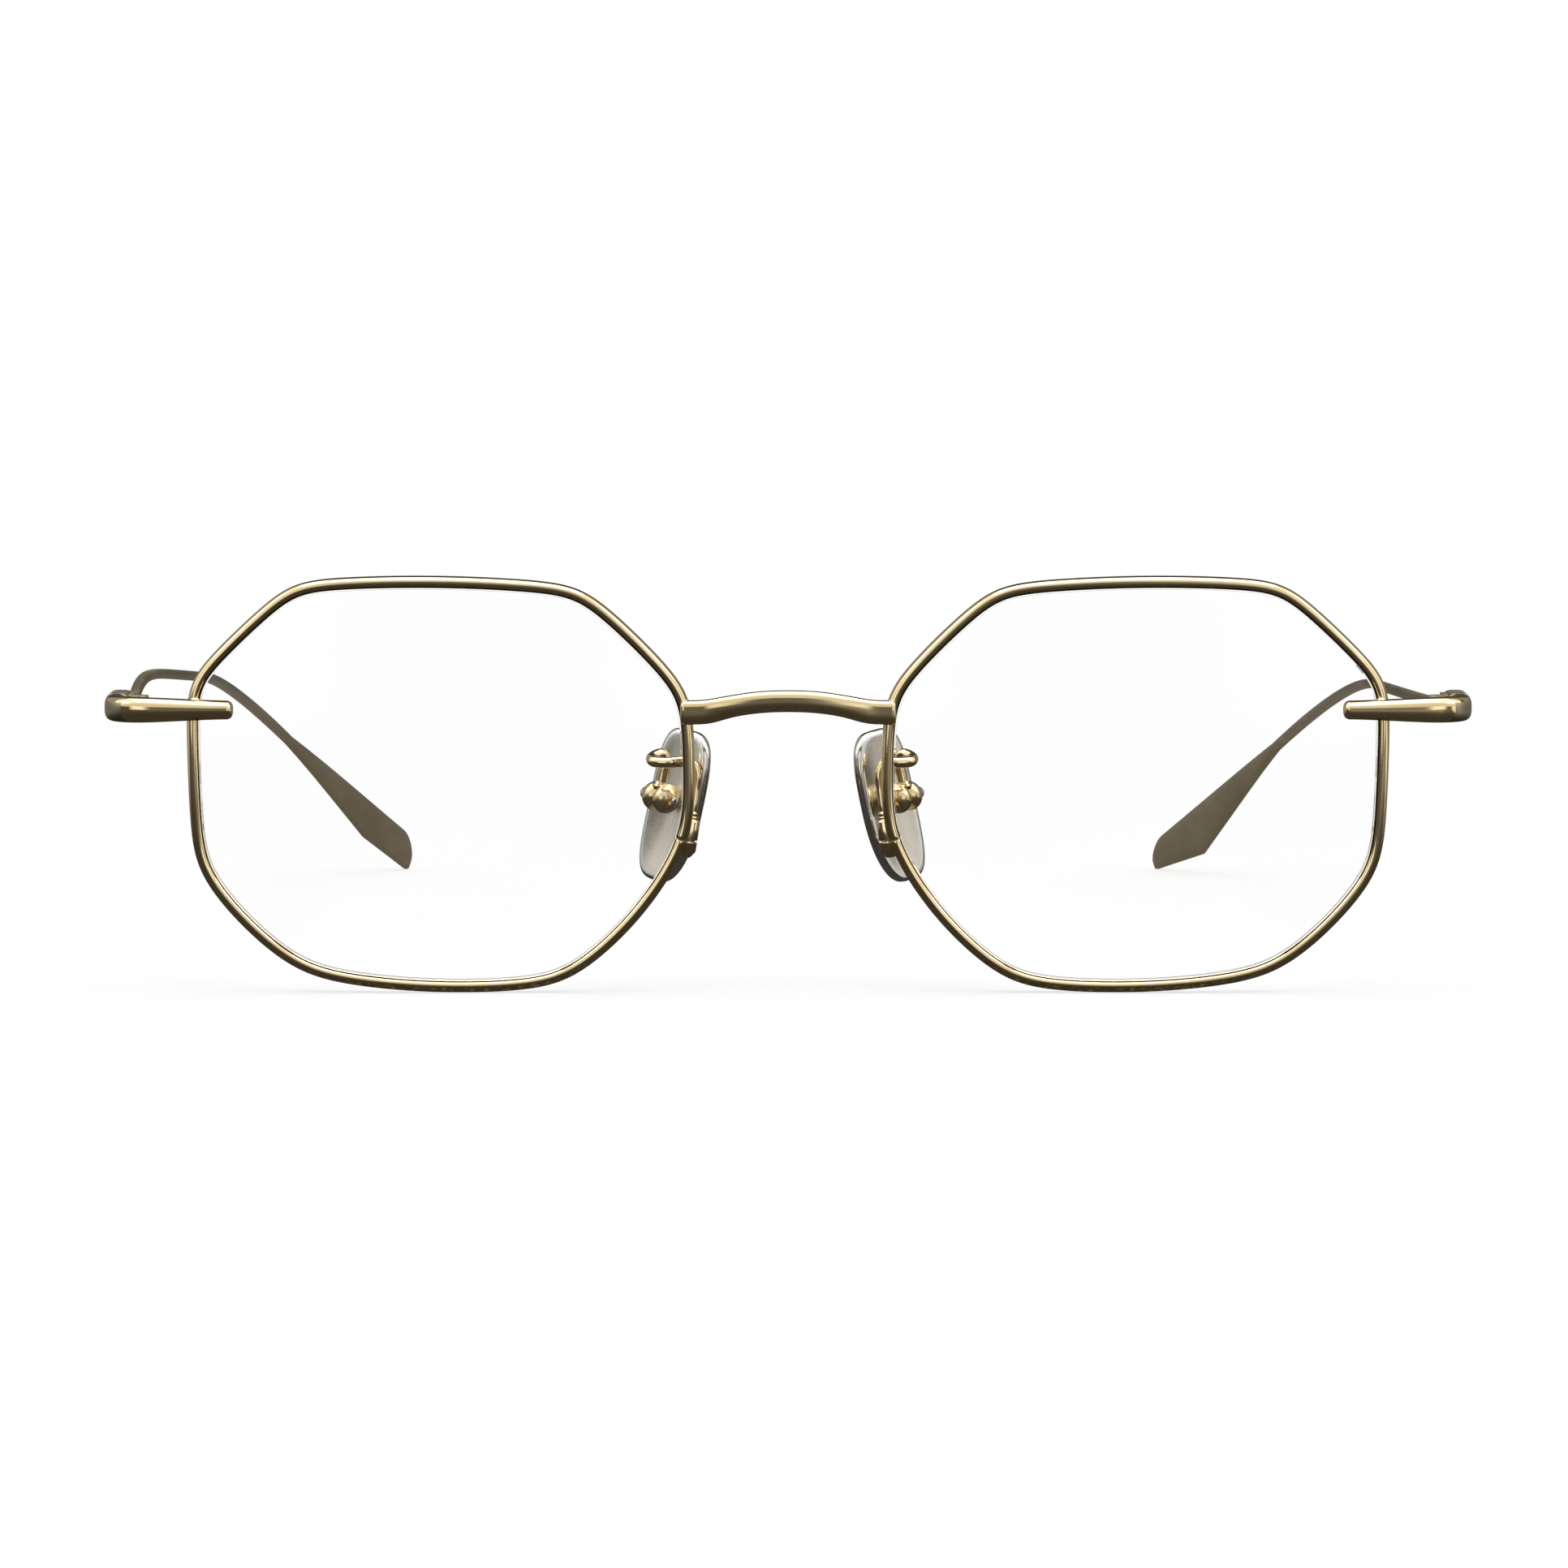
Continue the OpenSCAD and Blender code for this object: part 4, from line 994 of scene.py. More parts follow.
class EYEGLASSES_OT_temples(bpy.types.Operator):
    """Sweep the temples: block, wire, bend and flat end in one piece"""

    bl_idname = "eyeglasses.temples"
    bl_label = "Temples"

    def execute(self, context):
        for side in SIDES:
            path = temple_path(side)
            rows = self.block_rows() + self.wire_rows(path, *PADDLE_REACH[side])
            piece = swept(f"{side}_temple_wire", rows, side, satin_gold(), around=48, sharp=0.7)
            keep(piece, f"{side}_temple_body", "satin_gold", f"{side}_temple")
        return {"FINISHED"}

    def block_rows(self):
        """The block beside the hinge: a few rows round its front edge, then a taper into the wire."""
        end_x = FRONT_HALF - BAR_T / 2
        wire_x = FRONT_HALF - WIRE_IN
        turns = [math.pi / 2 * (i + 8) / 8 for i in range(-8, 1)]
        places = [BLOCK_EDGE * (1 - math.cos(turn)) * 0.5 for turn in turns]
        places += [BLOCK_LEN * i / 62 for i in range(1, 61)]
        rows = []
        for d in places:
            near = max(0, BLOCK_EDGE - d)
            inset = BLOCK_EDGE - math.sqrt(max(0, BLOCK_EDGE**2 - near**2)) if near else 0
            f = smooth((d - BLOCK_FULL) / (BLOCK_LEN - BLOCK_FULL))
            half_w = BAR_T / 2 * (1 - f) + WIRE_T / 2 * f - inset
            half_h = BAR_H / 2 * (1 - f) + WIRE_H / 2 * f - inset
            middle = Vector((end_x * (1 - f) + wire_x * f, SEAM_BACK + SEAM_GAP + d, END_Z))
            reach = (half_w, half_w, half_h, half_h)
            squareness = BLOCK_SQUARENESS - f
            rows.append((middle, Vector((1, 0, 0)), Vector((0, 0, 1)), reach, squareness, d - BLOCK_LEN))
        return [point_row(rows[0])] + rows

    def wire_rows(self, path, above, below):
        """The wire and its flat end, with a rounded tip."""
        step = (TEMPLE_LEN - TIP_MARGIN) / TEMPLE_PARTS
        rows = []
        for i in range(2, TEMPLE_PARTS + 1):
            along = (path[min(TEMPLE_PARTS, i + 1)] - path[i - 1]).normalized()
            side = along.cross(Vector((0, 0, 1))).normalized()
            up = side.cross(along)
            s = i * step
            flat = smooth((s - PADDLE_AT) / FLATTEN_RUN + 0.5)
            half_t = WIRE_T / 2 + (PADDLE_T - WIRE_T) / 2 * flat
            near = max(0, TIP_END_ROUND - (TEMPLE_LEN - s))
            half_t -= TIP_END_ROUND - math.sqrt(max(0, TIP_END_ROUND**2 - near**2))
            reach = (half_t, half_t, upper_half(s, above), lower_half(s, below))
            rows.append((path[i], side, up, reach, WIRE_SQUARENESS - FLAT_ROUNDER * flat, s))
        middle, side, up, reach = rows[-1][:4]
        tip = middle + up * (reach[2] - reach[3]) / 2
        return rows + [(tip, *point_row(rows[-1])[1:])]


# Rim locks and pad arms


LOCK_R, LOCK_LEAN = 0.95, math.radians(9)
LOCK_UP_H, LOCK_DOWN_H, SLIT_W = 2.1, 1.2, 0.2
LOCK_IN, LOCK_BACK = 0.1, 0.78
LOCK_CHAMFER, LOCK_ROUND = 0.05, 0.06
BRAZE = 0.02
# Each block's way from the slit, its height, where its outer edge starts and ends, and how far that draws in
LOCK_BLOCKS = {"upper": (1, LOCK_UP_H, 0.28, 0.14, 0.224), "lower": (-1, LOCK_DOWN_H, 0.35, 0.15, 0.2)}


def lock_frame():
    """The middle of the slit on the lock's axis, and the direction of that axis."""
    sizes = bpy.context.scene.eyeglasses_sizes
    point, normal = lens_point(SLIT_AT), lens_normal(SLIT_AT)
    place = point + normal * (sizes.rim_thickness / MM + LOCK_IN)
    back = sag(point.length) + sizes.rim_depth / MM / 2 + LOCK_BACK
    return (
        Vector((LENS_X + place.x, back, LENS_Z + place.z)),
        Vector((-math.sin(LOCK_LEAN), 0, math.cos(LOCK_LEAN))),
    )


class EYEGLASSES_OT_rim_locks(bpy.types.Operator):
    """Make the lock blocks and lock screws at the slit of each rim"""

    bl_idname = "eyeglasses.rim_locks"
    bl_label = "Rim locks"

    def execute(self, context):
        place, axis = lock_frame()
        gold = polished_gold()
        for side in SIDES:
            for end, (way, height, edge_from, edge_to, draw_in) in LOCK_BLOCKS.items():
                tip = SLIT_W / 2 + height
                profile = (
                    (SLIT_W / 2, LOCK_R - LOCK_CHAMFER), (SLIT_W / 2 + LOCK_CHAMFER, LOCK_R),
                    (tip - edge_from, LOCK_R), (tip - edge_to, LOCK_R - LOCK_ROUND), (tip, LOCK_R - draw_in),
                )
                profile = [(way * along, radius) for along, radius in profile]
                block = turned(f"{side}_lock_barrel_{end}", profile, place, axis, side, gold)
                keep(block, "front", "polished_gold", f"{side}_{end}_lock_block")
            screw = bevelled_copy(f"{side}_lock_screw_finished", f"{side}_lock_screw", LOCK_SCREW_EDGE, gold)
            keep(screw, "front", "polished_gold", f"{side}_lock_screw")
        return {"FINISHED"}


PAD_SPLAY, PAD_LEAN = math.radians(45), math.radians(12)
PAD_PLACES = {"right": Vector((12.9, 7.3, LENS_Z - 1.8)), "left": Vector((11.7, 7.3, LENS_Z - 1.8))}
PAD_TURN = Matrix.Rotation(-PAD_LEAN, 3, "Y") @ Matrix.Rotation(PAD_SPLAY, 3, "Z")
PAD_H, PAD_W, PAD_T, PAD_DROP, PAD_OFF = 15.7, 7.2, 1.2, 0.7, 1.75
PAD_DISH, PAD_ROUND, PAD_BEVEL, PAD_PARTS = 0.35, 0.42, 0.3, 160
# Squareness of a pad's outline on its outer half, and on the upper and lower parts of its inner half
PAD_OUTER, PAD_UPPER, PAD_LOWER = 4.0, 3.3, 2.1
LOBE_R, LOBE_AT, LOBE_LEN = 1.5, 0.75, 1.3
SLOT_HALF, SLOT_REACH, SLOT_OUT = 0.485, 0.97, 3.0
STEM_Y, ARM_R, ARM_FOOT_R = -0.35, 0.56, 0.42
ARM_PARTS, ARM_TAPERED = 14, 0.4
BOX_TOP = LOBE_R + 0.1
TANG_R, TANG_NECK, TANG_HALF_T, TANG_EDGE = 0.85, 0.6, 0.425, 0.05
NECK_FROM, TANG_IN = 0.75, 0.5


def from_pad(side, x, y, z):
    return PAD_PLACES[side] + PAD_TURN @ Vector((x, y, z))


def through(knots):
    """A smooth curve through knots."""
    padded = [knots[0]] + knots + [knots[-1]]
    line = []
    for a, b, c, d in zip(padded, padded[1:], padded[2:], padded[3:]):
        for j in range(ARM_PARTS):
            f = j / ARM_PARTS
            square, cube = 2 * a - 5 * b + 4 * c - d, 3 * b - a - 3 * c + d
            line.append(0.5 * (2 * b + (c - a) * f + square * f**2 + cube * f**3))
    return line + [knots[-1]]


def arm_line(side):
    """The middle line of a pad arm, from the lock to the pad box, and the direction that it starts in."""
    place, axis = lock_frame()
    start = place + axis * (SLIT_W / 2 + LOCK_UP_H + BRAZE)
    end = from_pad(side, 0, STEM_Y, BOX_TOP + BRAZE)
    down = Vector((-math.sin(PAD_LEAN), 0, math.cos(PAD_LEAN)))
    climb = start + Vector((-0.15, 0.6, 5.4))
    curl = end + Vector((-0.7, -2.85, 2.1))
    knots = [start, start + axis * 1.3 + Vector((0, 0.1, 0))]
    knots += [start + Vector(offset) for offset in ((-0.4, 0.35, 2.9), (-0.55, 0.5, 4.4))]
    knots += [climb, (climb + curl) / 2 + Vector((0, 0.2, 0.2)), curl]
    knots += [
        end + Vector(offset)
        for offset in (
            (0.6, -2.4, 2.15), (1.0, -1.6, 2.4), (0.55, -0.8, 2.7), (-0.1, -0.25, 2.75), (-0.45, -0.05, 2.05),
        )
    ]
    return through(knots + [end + down * 1.1, end]), axis


class EYEGLASSES_OT_pad_arms(bpy.types.Operator):
    """Sweep the pad arms: up from the lock, round a curl and down into the pad box"""

    bl_idname = "eyeglasses.pad_arms"
    bl_label = "Pad arms"

    def rows(self, line):
        count = len(line) - 1
        rows = []
        side_way = Vector((0, 1, 0))
        travelled = 0.0
        for i, point in enumerate(line):
            along = (line[min(count, i + 1)] - line[max(0, i - 1)]).normalized()
            side_way = (side_way - along * side_way.dot(along)).normalized()
            if i:
                travelled += (point - line[i - 1]).length
            r = ARM_FOOT_R + (ARM_R - ARM_FOOT_R) * smooth(i / count / ARM_TAPERED)
            rows.append((point, side_way.copy(), along.cross(side_way), (r, r, r, r), 2.0, travelled))
        return [point_row(rows[0])] + rows + [point_row(rows[-1])]

    def execute(self, context):
        collar = [
            (0, 0.62), (0.06, 0.69), (0.2, 0.7), (0.27, 0.62), (0.32, 0.55), (0.4, 0.6),
            (0.52, 0.62), (0.64, 0.57), (0.72, 0.48), (0.78, 0.4),
        ]
        for side in SIDES:
            line, axis = arm_line(side)
            wire = swept(f"{side}_arm_wire", self.rows(line), side, polished_gold(), around=24)
            bead = turned(f"{side}_arm_bead", collar, line[0], axis, side, polished_gold(), sharp=1.2)
            piece = joined(f"{side}_pad_arm_wire", [wire, bead])
            keep(piece, "front", "polished_gold", f"{side}_pad_arm")
        return {"FINISHED"}


def cut_away(piece, corners):
    """The mesh of a piece less the box between eight corners, which replaces the piece."""
    form = bmesh.new()
    verts = [form.verts.new(corner) for corner in corners]
    for face in ((0, 1, 3, 2), (4, 6, 7, 5), (0, 4, 5, 1), (2, 3, 7, 6), (0, 2, 6, 4), (1, 5, 7, 3)):
        form.faces.new([verts[i] for i in face])
    bmesh.ops.recalc_face_normals(form, faces=form.faces)
    box = bpy.data.meshes.new("slot_cutter")
    form.to_mesh(box)
    form.free()
    cutter = link_piece("slot_cutter", box)
    cut = piece.modifiers.new("Slot", "BOOLEAN")
    cut.operation = "DIFFERENCE"
    cut.solver = "EXACT"
    cut.object = cutter
    mesh = bpy.data.meshes.new_from_object(piece.evaluated_get(bpy.context.evaluated_depsgraph_get()))
    bpy.data.objects.remove(piece)
    bpy.data.objects.remove(cutter)
    return mesh


class EYEGLASSES_OT_pad_boxes(bpy.types.Operator):
    """Make the pad boxes with their two lobes, slot and stem, and the pad screws"""

    bl_idname = "eyeglasses.pad_boxes"
    bl_label = "Pad boxes"

    def execute(self, context):
        profile = [
            (-2.16, 0.3), (-2.13, 0.36), (-2.05, 0.38), (1.72, 0.38), (1.72, 0.6), (1.76, 0.65),
            (2.2, 0.65), (2.4, 0.6), (2.56, 0.48), (2.65, 0.3), (2.68, 0.06),
        ]
        axis = PAD_TURN @ Vector((1, 0, 0))
        for side in SIDES:
            box = self.box(side, axis)
            keep(box, "front", "polished_gold", f"{side}_pad_box")
            name, place = f"{side}_pad_screw_turned", PAD_PLACES[side]
            screw = turned(name, profile, place, axis, side, bright_steel(), sharp=0.7)
            keep(screw, "front", "bright_steel", f"{side}_pad_screw")
        return {"FINISHED"}

    def box(self, side, axis):
        profile = []
        steps = 60
        for i in range(steps + 1):
            x = -(LOBE_AT + LOBE_LEN) * math.cos(math.pi * i / steps)
            lobe = abs(x) - LOBE_AT
            profile.append((x, LOBE_R * math.sqrt(max(0.0, 1 - (lobe / LOBE_LEN) ** 2))))
        lobes = turned(f"{side}_lobes", profile, PAD_PLACES[side], axis, side, soft_gold(), steps=64, sharp=0.9)
        corners = [
            to_frame(from_pad(side, x, y, z), side)
            for x in (-SLOT_HALF, SLOT_HALF)
            for y in (-SLOT_REACH, SLOT_OUT)
            for z in (-SLOT_OUT, SLOT_REACH)
        ]
        mesh = cut_away(lobes, corners)
        tidy_mesh(mesh, 0.7)
        body = link_piece(f"{side}_box_body", mesh)
        if not mesh.materials:
            mesh.materials.append(soft_gold())
        up = PAD_TURN @ Vector((0, 0, 1))
        profile = [(1.1, 0.9), (1.2, 0.86), (1.28, 0.76), (1.4, 0.69), (1.52, 0.68), (1.6, 0.64), (1.6, 0.5)]
        foot = from_pad(side, 0, STEM_Y, 0)
        stem = turned(f"{side}_box_stem", profile, foot, up, side, soft_gold(), sharp=0.9)
        return joined(f"{side}_pad_box_forged", [body, stem])


class EYEGLASSES_OT_nose_pads(bpy.types.Operator):
    """Make the metal nose pads with their polished bevels and their tangs"""

    bl_idname = "eyeglasses.nose_pads"
    bl_label = "Nose pads"

    def execute(self, context):
        for side in SIDES:
            piece = joined(f"{side}_nose_pad_plate", [self.plate(side), self.tang(side)])
            keep(piece, f"{side}_pad_body", "satin_steel", f"{side}_nose_pad")
        return {"FINISHED"}

    def plate(self, side):
        """The pad's plate: a dished back, rounded edges with a polished bevel on each side, and a flat face."""
        turns = [math.pi / 2 * i / 6 for i in range(7)]
        front = [(PAD_ROUND * (1 - math.sin(a)), PAD_ROUND * (1 - math.cos(a))) for a in turns]
        back = [(inset, PAD_T - y) for inset, y in reversed(front)]
        face = PAD_ROUND + PAD_BEVEL
        inside = [0.02, 0.15, 0.3, 0.45, 0.6, 0.75, 0.9]
        rows = [(face, PAD_DISH * (1 - share**2), share) for share in inside] + [(face, 0.0, 1)]
        rows += [(inset, y, 1) for inset, y in front + back]
        rows += [(face, PAD_T, 1), (face, PAD_T, 0.02)]
        polished = range(len(inside), len(rows) - 2)
        rings = []
        for inset, y, share in rows:
            ring = []
            for i in range(PAD_PARTS):
                t = TAU * (i + 0.5) / PAD_PARTS
                c, s = math.cos(t), math.sin(t)
                squareness = PAD_OUTER if c > 0 else (PAD_UPPER if s > 0 else PAD_LOWER)
                x = share * (PAD_W / 2 - inset) * power(c, 2 / squareness)
                z = share * (PAD_H / 2 - inset) * power(s, 2 / squareness) - PAD_DROP
                ring.append(to_frame(from_pad(side, x, PAD_OFF + y, z), side))
            rings.append(ring)
        materials = [satin_steel(), bright_steel()]
        return rings_mesh(f"{side}_plate", rings, materials, ring_material=lambda i: 1 if i in polished else 0)

    def tang(self, side):
        """The tang between the lobes of the pad box: a round eye on a neck."""
        turns = [math.radians(45 + 270 * i / 32) for i in range(33)]
        outline = [(TANG_R * math.cos(a), TANG_R * math.sin(a)) for a in turns]
        ends = (NECK_FROM, PAD_OFF + TANG_IN)
        outline += [(y, -TANG_NECK) for y in ends] + [(y, TANG_NECK) for y in reversed(ends)]
        flat = TANG_HALF_T - TANG_EDGE
        rings = []
        for x, shrink in ((-TANG_HALF_T, TANG_EDGE), (-flat, 0), (flat, 0), (TANG_HALF_T, TANG_EDGE)):
            shrunk = [(y * (1 - shrink), z * (1 - shrink)) for y, z in outline]
            rings.append([to_frame(from_pad(side, x, y, z), side) for y, z in shrunk])
        return rings_mesh(f"{side}_tang", rings, [satin_steel()], sharp=0.5)


# Stage


# Brightness of the surround low down, by degrees from the front, to the right positive
WALL_LEVELS = (
    (-158, 0.06), (-150, 0.36), (-108, 0.36), (-102, 0.5), (-86, 0.5), (-76, 0.09), (-20, 0.1), (-8, 0.16),
    (3, 0.16), (10, 0.32), (38, 0.32), (46, 0.16), (58, 0.16), (64, 1.1), (82, 1.1), (88, 0.45), (100, 0.4),
    (106, 0.08), (112, 0.08), (118, 0.28), (150, 0.28), (158, 0.06),
)
WALL_TINT = (1.0, 0.98, 0.94)
# The bright part overhead, in degrees over the top from the front, its soft edge, and its brightest part
SKY_OVER, SKY_SOFT = (20.0, 112.0), 8.0
SKY_ABOVE = (6.0, 16.0)
SKY_LIGHT = (0.84, 0.83, 0.80)
HIGH_SKY_FROM = (34.0, 66.0)
HIGH_SKY_LIGHT = (1.35, 1.34, 1.30)
# Two bright panels, one each way from the front, in degrees aside and upwards
PANEL_TURN, PANEL_TURN_SOFT = (15.0, 44.0), 15.0
PANEL_RISE, PANEL_RISE_SOFT = (0.0, 20.0), 9.0
PANEL_LIGHT = (1.3, 1.28, 1.22)
DOME_R, DOME_RINGS, DOME_PARTS = 1.8, 18, 48
# The dark cloth, its threads, and the metres over which it turns lighter behind the front and further out
CLOTH_DARK, CLOTH_THREAD, CLOTH_BEHIND = (0.04, 0.036, 0.03), (0.13, 0.12, 0.1), (0.28, 0.26, 0.23)
BEHIND_FADE, AWAY_FADE = (0.0, 0.03), (0.08, 0.42)
CLOTH_HALF, CLOTH_UP = 1.75, 0.04
FLOOR_HALF, FLOOR_FADE, FLOOR_GLOW = 3.0, (0.1, 0.35), (0.7, 1.0)
ROOM_COLOUR, ROOM_STRENGTH = (1.0, 0.99, 0.97, 1), 0.55
LAMPS = (
    ("lamp_top", (0.0, -0.05, 0.9), 0.9, 4.6),
    ("lamp_left", (-0.8, -0.3, 0.75), 0.4, 1.0),
    ("lamp_right", (0.8, -0.3, 0.75), 0.4, 1.4),
)
LAMPS_AIM = Vector((0, 0, 0.02))
# The camera: millimetres to the right, ahead of the front and up, degrees that it looks down, and its lens
CAMERA_X, CAMERA_AHEAD, CAMERA_Z = -0.415, 755.48, 82.78
CAMERA_DOWN, FOCAL_LENGTH = 4.6636, 173.78


def studio_walls():
    """Brightness of the studio's sides low down, by the direction from the middle of the set."""

    def build(group, given):
        way = add_split(group, given["Vector"])
        turn = add_math(group, "ARCTAN2", way["X"], add_math(group, "MULTIPLY", way["Y"], -1.0))
        walls = add_node(group, "ShaderNodeValToRGB", {"Fac": add_range(group, turn, -math.pi, math.pi)})
        stops = walls.color_ramp.elements
        for stop, position in ((stops[0], 0.0), (stops[1], 1.0)):
            stop.position = position
            stop.color = (0.08, 0.08, 0.075, 1)
        for degrees, level in WALL_LEVELS:
            stops.new((degrees + 180) / 360).color = (*(level * tint for tint in WALL_TINT), 1)
        return walls.outputs[0]

    return shader_group("Studio walls", {}, "Color", "NodeSocketColor", build)


def directly_seen(tree):
    """1 for rays from the camera, through glass and off gloss, 0 for the soft light between surfaces."""
    rays = tree.nodes.new("ShaderNodeLightPath").outputs
    seen = add_math(tree, "MAXIMUM", rays["Is Camera Ray"], rays["Is Transmission Ray"])
    return add_math(tree, "MAXIMUM", seen, rays["Is Glossy Ray"])


def stage_piece(name, points, faces, material):
    mesh = bpy.data.meshes.new(name)
    mesh.from_pydata(points, [], faces)
    piece = link_piece(name, mesh, [material])
    return piece


def level_square(half, height):
    return [(-half, -half, height), (half, -half, height), (half, half, height), (-half, half, height)]


def dome():
    """Points and faces of a half sphere that is open below."""
    points = [(0, 0, DOME_R)]
    faces = []
    for i in range(1, DOME_RINGS + 1):
        tilt = math.pi / 2 * i / DOME_RINGS
        reach, height = DOME_R * math.sin(tilt), DOME_R * math.cos(tilt)
        above, below = 1 + (i - 2) * DOME_PARTS, 1 + (i - 1) * DOME_PARTS
        for j in range(DOME_PARTS):
            a = TAU * j / DOME_PARTS
            points.append((reach * math.sin(a), -reach * math.cos(a), height))
            k = (j + 1) % DOME_PARTS
            faces.append((0, 1 + j, 1 + k) if i == 1 else (above + j, below + j, below + k, above + k))
    return points, faces


class EYEGLASSES_OT_stage(bpy.types.Operator):
    """Set up the pale floor, the studio's surround, the soft lights, the world and the camera"""

    bl_idname = "eyeglasses.stage"
    bl_label = "Stage"

    def execute(self, context):
        scene = context.scene
        scene.view_settings.view_transform = "Standard"
        self.world(scene)
        self.floor()
        self.surround()
        self.cloth()
        self.lamps(scene)
        self.camera(scene)
        return {"FINISHED"}

    def world(self, scene):
        """White to the camera, and a soft warm light on the object."""
        world = bpy.data.worlds.new("Studio")
        scene.world = world
        world.use_nodes = True
        tree = world.node_tree
        tree.nodes.clear()
        room = add_node(tree, "ShaderNodeBackground", {"Color": ROOM_COLOUR, "Strength": ROOM_STRENGTH})
        white = add_node(tree, "ShaderNodeBackground", {"Color": (1, 1, 1, 1), "Strength": 1.0})
        mixed = mixed_shader(tree, directly_seen(tree), room, white)
        add_node(tree, "ShaderNodeOutputWorld", {"Surface": mixed})

    def floor(self):
        """A pale floor that keeps the shadow and fades into the white background further out."""
        material, tree = new_material("pale_floor")
        place = object_place(tree)
        noise = add_noise(tree, place, 60.0, 3.0)
        colour = mixed_colour(tree, noise, (0.94, 0.94, 0.94), (0.97, 0.97, 0.97))
        lit = add_node(tree, "ShaderNodeBsdfDiffuse", {"Color": colour})
        glow = add_node(tree, "ShaderNodeEmission", {"Color": (1, 1, 1, 1), "Strength": 1.0})
        far = add_range(tree, add_length(tree, place), *FLOOR_FADE, *FLOOR_GLOW)
        share = add_math(tree, "MULTIPLY", directly_seen(tree), far)
        add_node(tree, "ShaderNodeOutputMaterial", {"Surface": mixed_shader(tree, share, lit, glow)})
        stage_piece("floor", level_square(FLOOR_HALF, 0), [(0, 1, 2, 3)], material)

    def surround(self):
        """A dome with the studio's bright and dark sides, seen only in reflections."""
        material, tree = new_material("studio_surround")
        place = object_place(tree)
        way = add_split(tree, add_vector_math(tree, "NORMALIZE", place))
        front = add_math(tree, "MULTIPLY", way["Y"], -1.0)
        turn = add_math(tree, "DEGREES", add_math(tree, "ARCTAN2", way["X"], front))
        rise = add_math(tree, "DEGREES", add_math(tree, "ARCSINE", way["Z"]))
        over = add_math(tree, "DEGREES", add_math(tree, "ARCTAN2", way["Z"], front))
        aside = add_math(tree, "ABSOLUTE", turn)

        def between(value, low, high, soft):
            up = add_fade(tree, value, low - soft / 2, low + soft / 2)
            down = add_fade(tree, value, high + soft / 2, high - soft / 2)
            return add_math(tree, "MULTIPLY", up, down)

        sky = between(over, *SKY_OVER, SKY_SOFT)
        sky = add_math(tree, "MULTIPLY", sky, add_fade(tree, rise, *SKY_ABOVE))
        high_sky = add_math(tree, "MULTIPLY", sky, add_fade(tree, over, *HIGH_SKY_FROM))
        panels = between(aside, *PANEL_TURN, PANEL_TURN_SOFT)
        panels = add_math(tree, "MULTIPLY", panels, between(rise, *PANEL_RISE, PANEL_RISE_SOFT))
        level = use_group(tree, studio_walls(), Vector=place)
        for mask, light in ((sky, SKY_LIGHT), (high_sky, HIGH_SKY_LIGHT), (panels, PANEL_LIGHT)):
            level = mixed_colour(tree, mask, level, light)
        self.seen_in_reflections(tree, level)
        self.card("surround", *dome(), material)

    def cloth(self):
        """A dark cloth on the floor that goes over into the walls further out, seen only in reflections."""
        material, tree = new_material("dark_cloth")
        place = object_place(tree)
        threads = add_fade(tree, add_noise(tree, place, 1400.0, 2.0), 0.52, 0.68)
        level = mixed_colour(tree, threads, CLOTH_DARK, CLOTH_THREAD)
        behind = add_fade(tree, add_split(tree, place)["Y"], *BEHIND_FADE)
        away = add_fade(tree, add_length(tree, place), *AWAY_FADE)
        level = mixed_colour(tree, behind, level, CLOTH_BEHIND)
        level = mixed_colour(tree, away, level, use_group(tree, studio_walls(), Vector=place))
        self.seen_in_reflections(tree, level)
        self.card("cloth", level_square(CLOTH_HALF, CLOTH_UP * MM), [(0, 1, 2, 3)], material)

    def seen_in_reflections(self, tree, colour):
        """Glows in a reflection and is clear to every other ray."""
        glow = add_node(tree, "ShaderNodeEmission", {"Color": colour})
        clear = add_node(tree, "ShaderNodeBsdfTransparent")
        bounces = tree.nodes.new("ShaderNodeLightPath").outputs["Glossy Depth"]
        mixed = mixed_shader(tree, add_math(tree, "GREATER_THAN", bounces, 0.5), clear, glow)
        add_node(tree, "ShaderNodeOutputMaterial", {"Surface": mixed})

    def card(self, name, points, faces, material):
        card = stage_piece(name, points, faces, material)
        card.visible_camera = False
        card.visible_shadow = False
        card.visible_diffuse = False

    def lamps(self, scene):
        for name, place, size, power_w in LAMPS:
            light = bpy.data.lights.new(name, "AREA")
            light.shape = "SQUARE"
            light.size = size
            light.energy = power_w
            lamp = bpy.data.objects.new(name, light)
            lamp.location = place
            lamp.rotation_euler = (LAMPS_AIM - Vector(place)).to_track_quat("-Z", "Y").to_euler()
            scene.collection.objects.link(lamp)

    def camera(self, scene):
        data = bpy.data.cameras.new("camera")
        data.sensor_width = 36
        data.lens = FOCAL_LENGTH
        data.clip_start = 0.01
        camera = bpy.data.objects.new("camera", data)
        camera.location = (CAMERA_X * MM, (ORIGIN_Y - CAMERA_AHEAD) * MM, CAMERA_Z * MM)
        camera.rotation_euler = (math.radians(90 - CAMERA_DOWN), 0, 0)
        scene.collection.objects.link(camera)
        scene.camera = camera


# Settings and panel


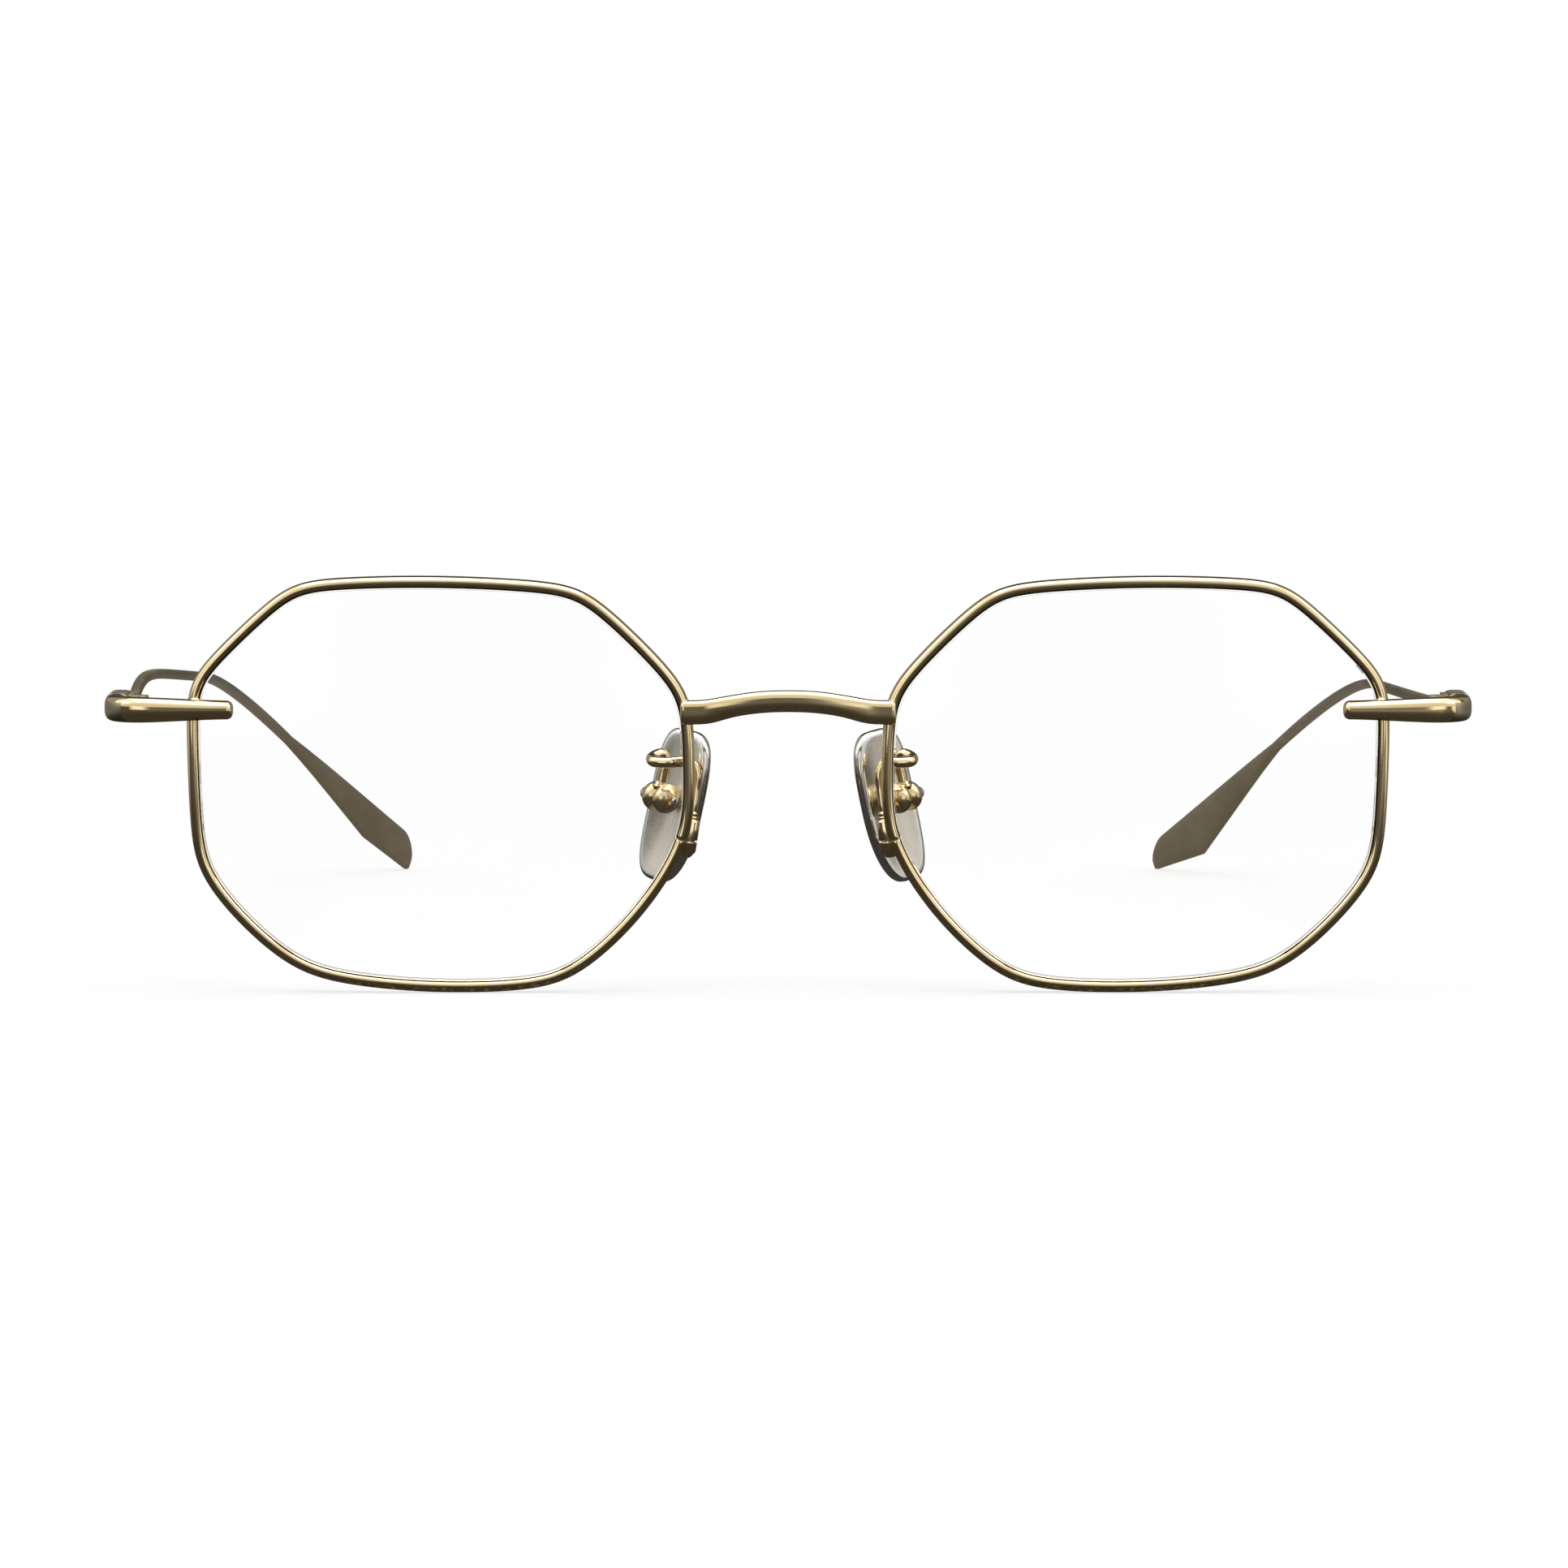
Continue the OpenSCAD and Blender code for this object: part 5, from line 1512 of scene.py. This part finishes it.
class EyeglassesSizes(bpy.types.PropertyGroup):
    """Sizes of the wire and lenses"""

    rim_thickness: bpy.props.FloatProperty(
        name="Rim thickness", description="Thickness of the rim wire outwards", default=0.0013, unit="LENGTH"
    )
    rim_depth: bpy.props.FloatProperty(
        name="Rim depth", description="Depth of the rim wire from front to back", default=0.0019, unit="LENGTH"
    )
    slit_width: bpy.props.FloatProperty(
        name="Slit width", description="Width of the slit at the rim lock", default=0.0002, unit="LENGTH"
    )
    lens_thickness: bpy.props.FloatProperty(
        name="Lens thickness", description="Thickness of a lens", default=0.0013, unit="LENGTH"
    )


class EyeglassesFinish(bpy.types.PropertyGroup):
    """Colours and gloss of the metals"""

    gold: bpy.props.FloatVectorProperty(
        name="Gold", description="Colour of the polished plating", default=(0.83, 0.68, 0.41), subtype="COLOR"
    )
    gold_roughness: bpy.props.FloatProperty(
        name="Gold roughness", description="Roughness of the polished plating", default=0.05, subtype="FACTOR"
    )
    bronze: bpy.props.FloatVectorProperty(
        name="Bronze", description="Colour of the matt temples", default=(0.43, 0.37, 0.255), subtype="COLOR"
    )
    steel: bpy.props.FloatVectorProperty(
        name="Steel", description="Colour of the nose pads", default=(0.78, 0.74, 0.66), subtype="COLOR"
    )


OPERATORS = (
    EYEGLASSES_OT_rims,
    EYEGLASSES_OT_lenses,
    EYEGLASSES_OT_bridge,
    EYEGLASSES_OT_end_pieces,
    EYEGLASSES_OT_hinges,
    EYEGLASSES_OT_temples,
    EYEGLASSES_OT_rim_locks,
    EYEGLASSES_OT_pad_arms,
    EYEGLASSES_OT_pad_boxes,
    EYEGLASSES_OT_nose_pads,
    EYEGLASSES_OT_stage,
)


class EYEGLASSES_PT_pieces(bpy.types.Panel):
    """Buttons for the pieces and fields for their sizes and finishes"""

    bl_idname = "EYEGLASSES_PT_pieces"
    bl_label = "Eyeglasses"
    bl_space_type = "VIEW_3D"
    bl_region_type = "UI"
    bl_category = "Eyeglasses"

    def draw(self, context):
        layout = self.layout
        for settings in (context.scene.eyeglasses_sizes, context.scene.eyeglasses_finish):
            for name in settings.__annotations__:
                layout.prop(settings, name)
        for operator in OPERATORS:
            layout.operator(operator.bl_idname)


CLASSES = (EyeglassesSizes, EyeglassesFinish, *OPERATORS, EYEGLASSES_PT_pieces)


def register():
    for cls in CLASSES:
        bpy.utils.register_class(cls)
    bpy.types.Scene.eyeglasses_sizes = bpy.props.PointerProperty(type=EyeglassesSizes)
    bpy.types.Scene.eyeglasses_finish = bpy.props.PointerProperty(type=EyeglassesFinish)


def unregister():
    del bpy.types.Scene.eyeglasses_finish
    del bpy.types.Scene.eyeglasses_sizes
    for cls in reversed(CLASSES):
        bpy.utils.unregister_class(cls)


def main():
    register()
    for operator in OPERATORS:
        getattr(bpy.ops.eyeglasses, operator.bl_idname.split(".")[1])()


if __name__ == "__main__":
    main()
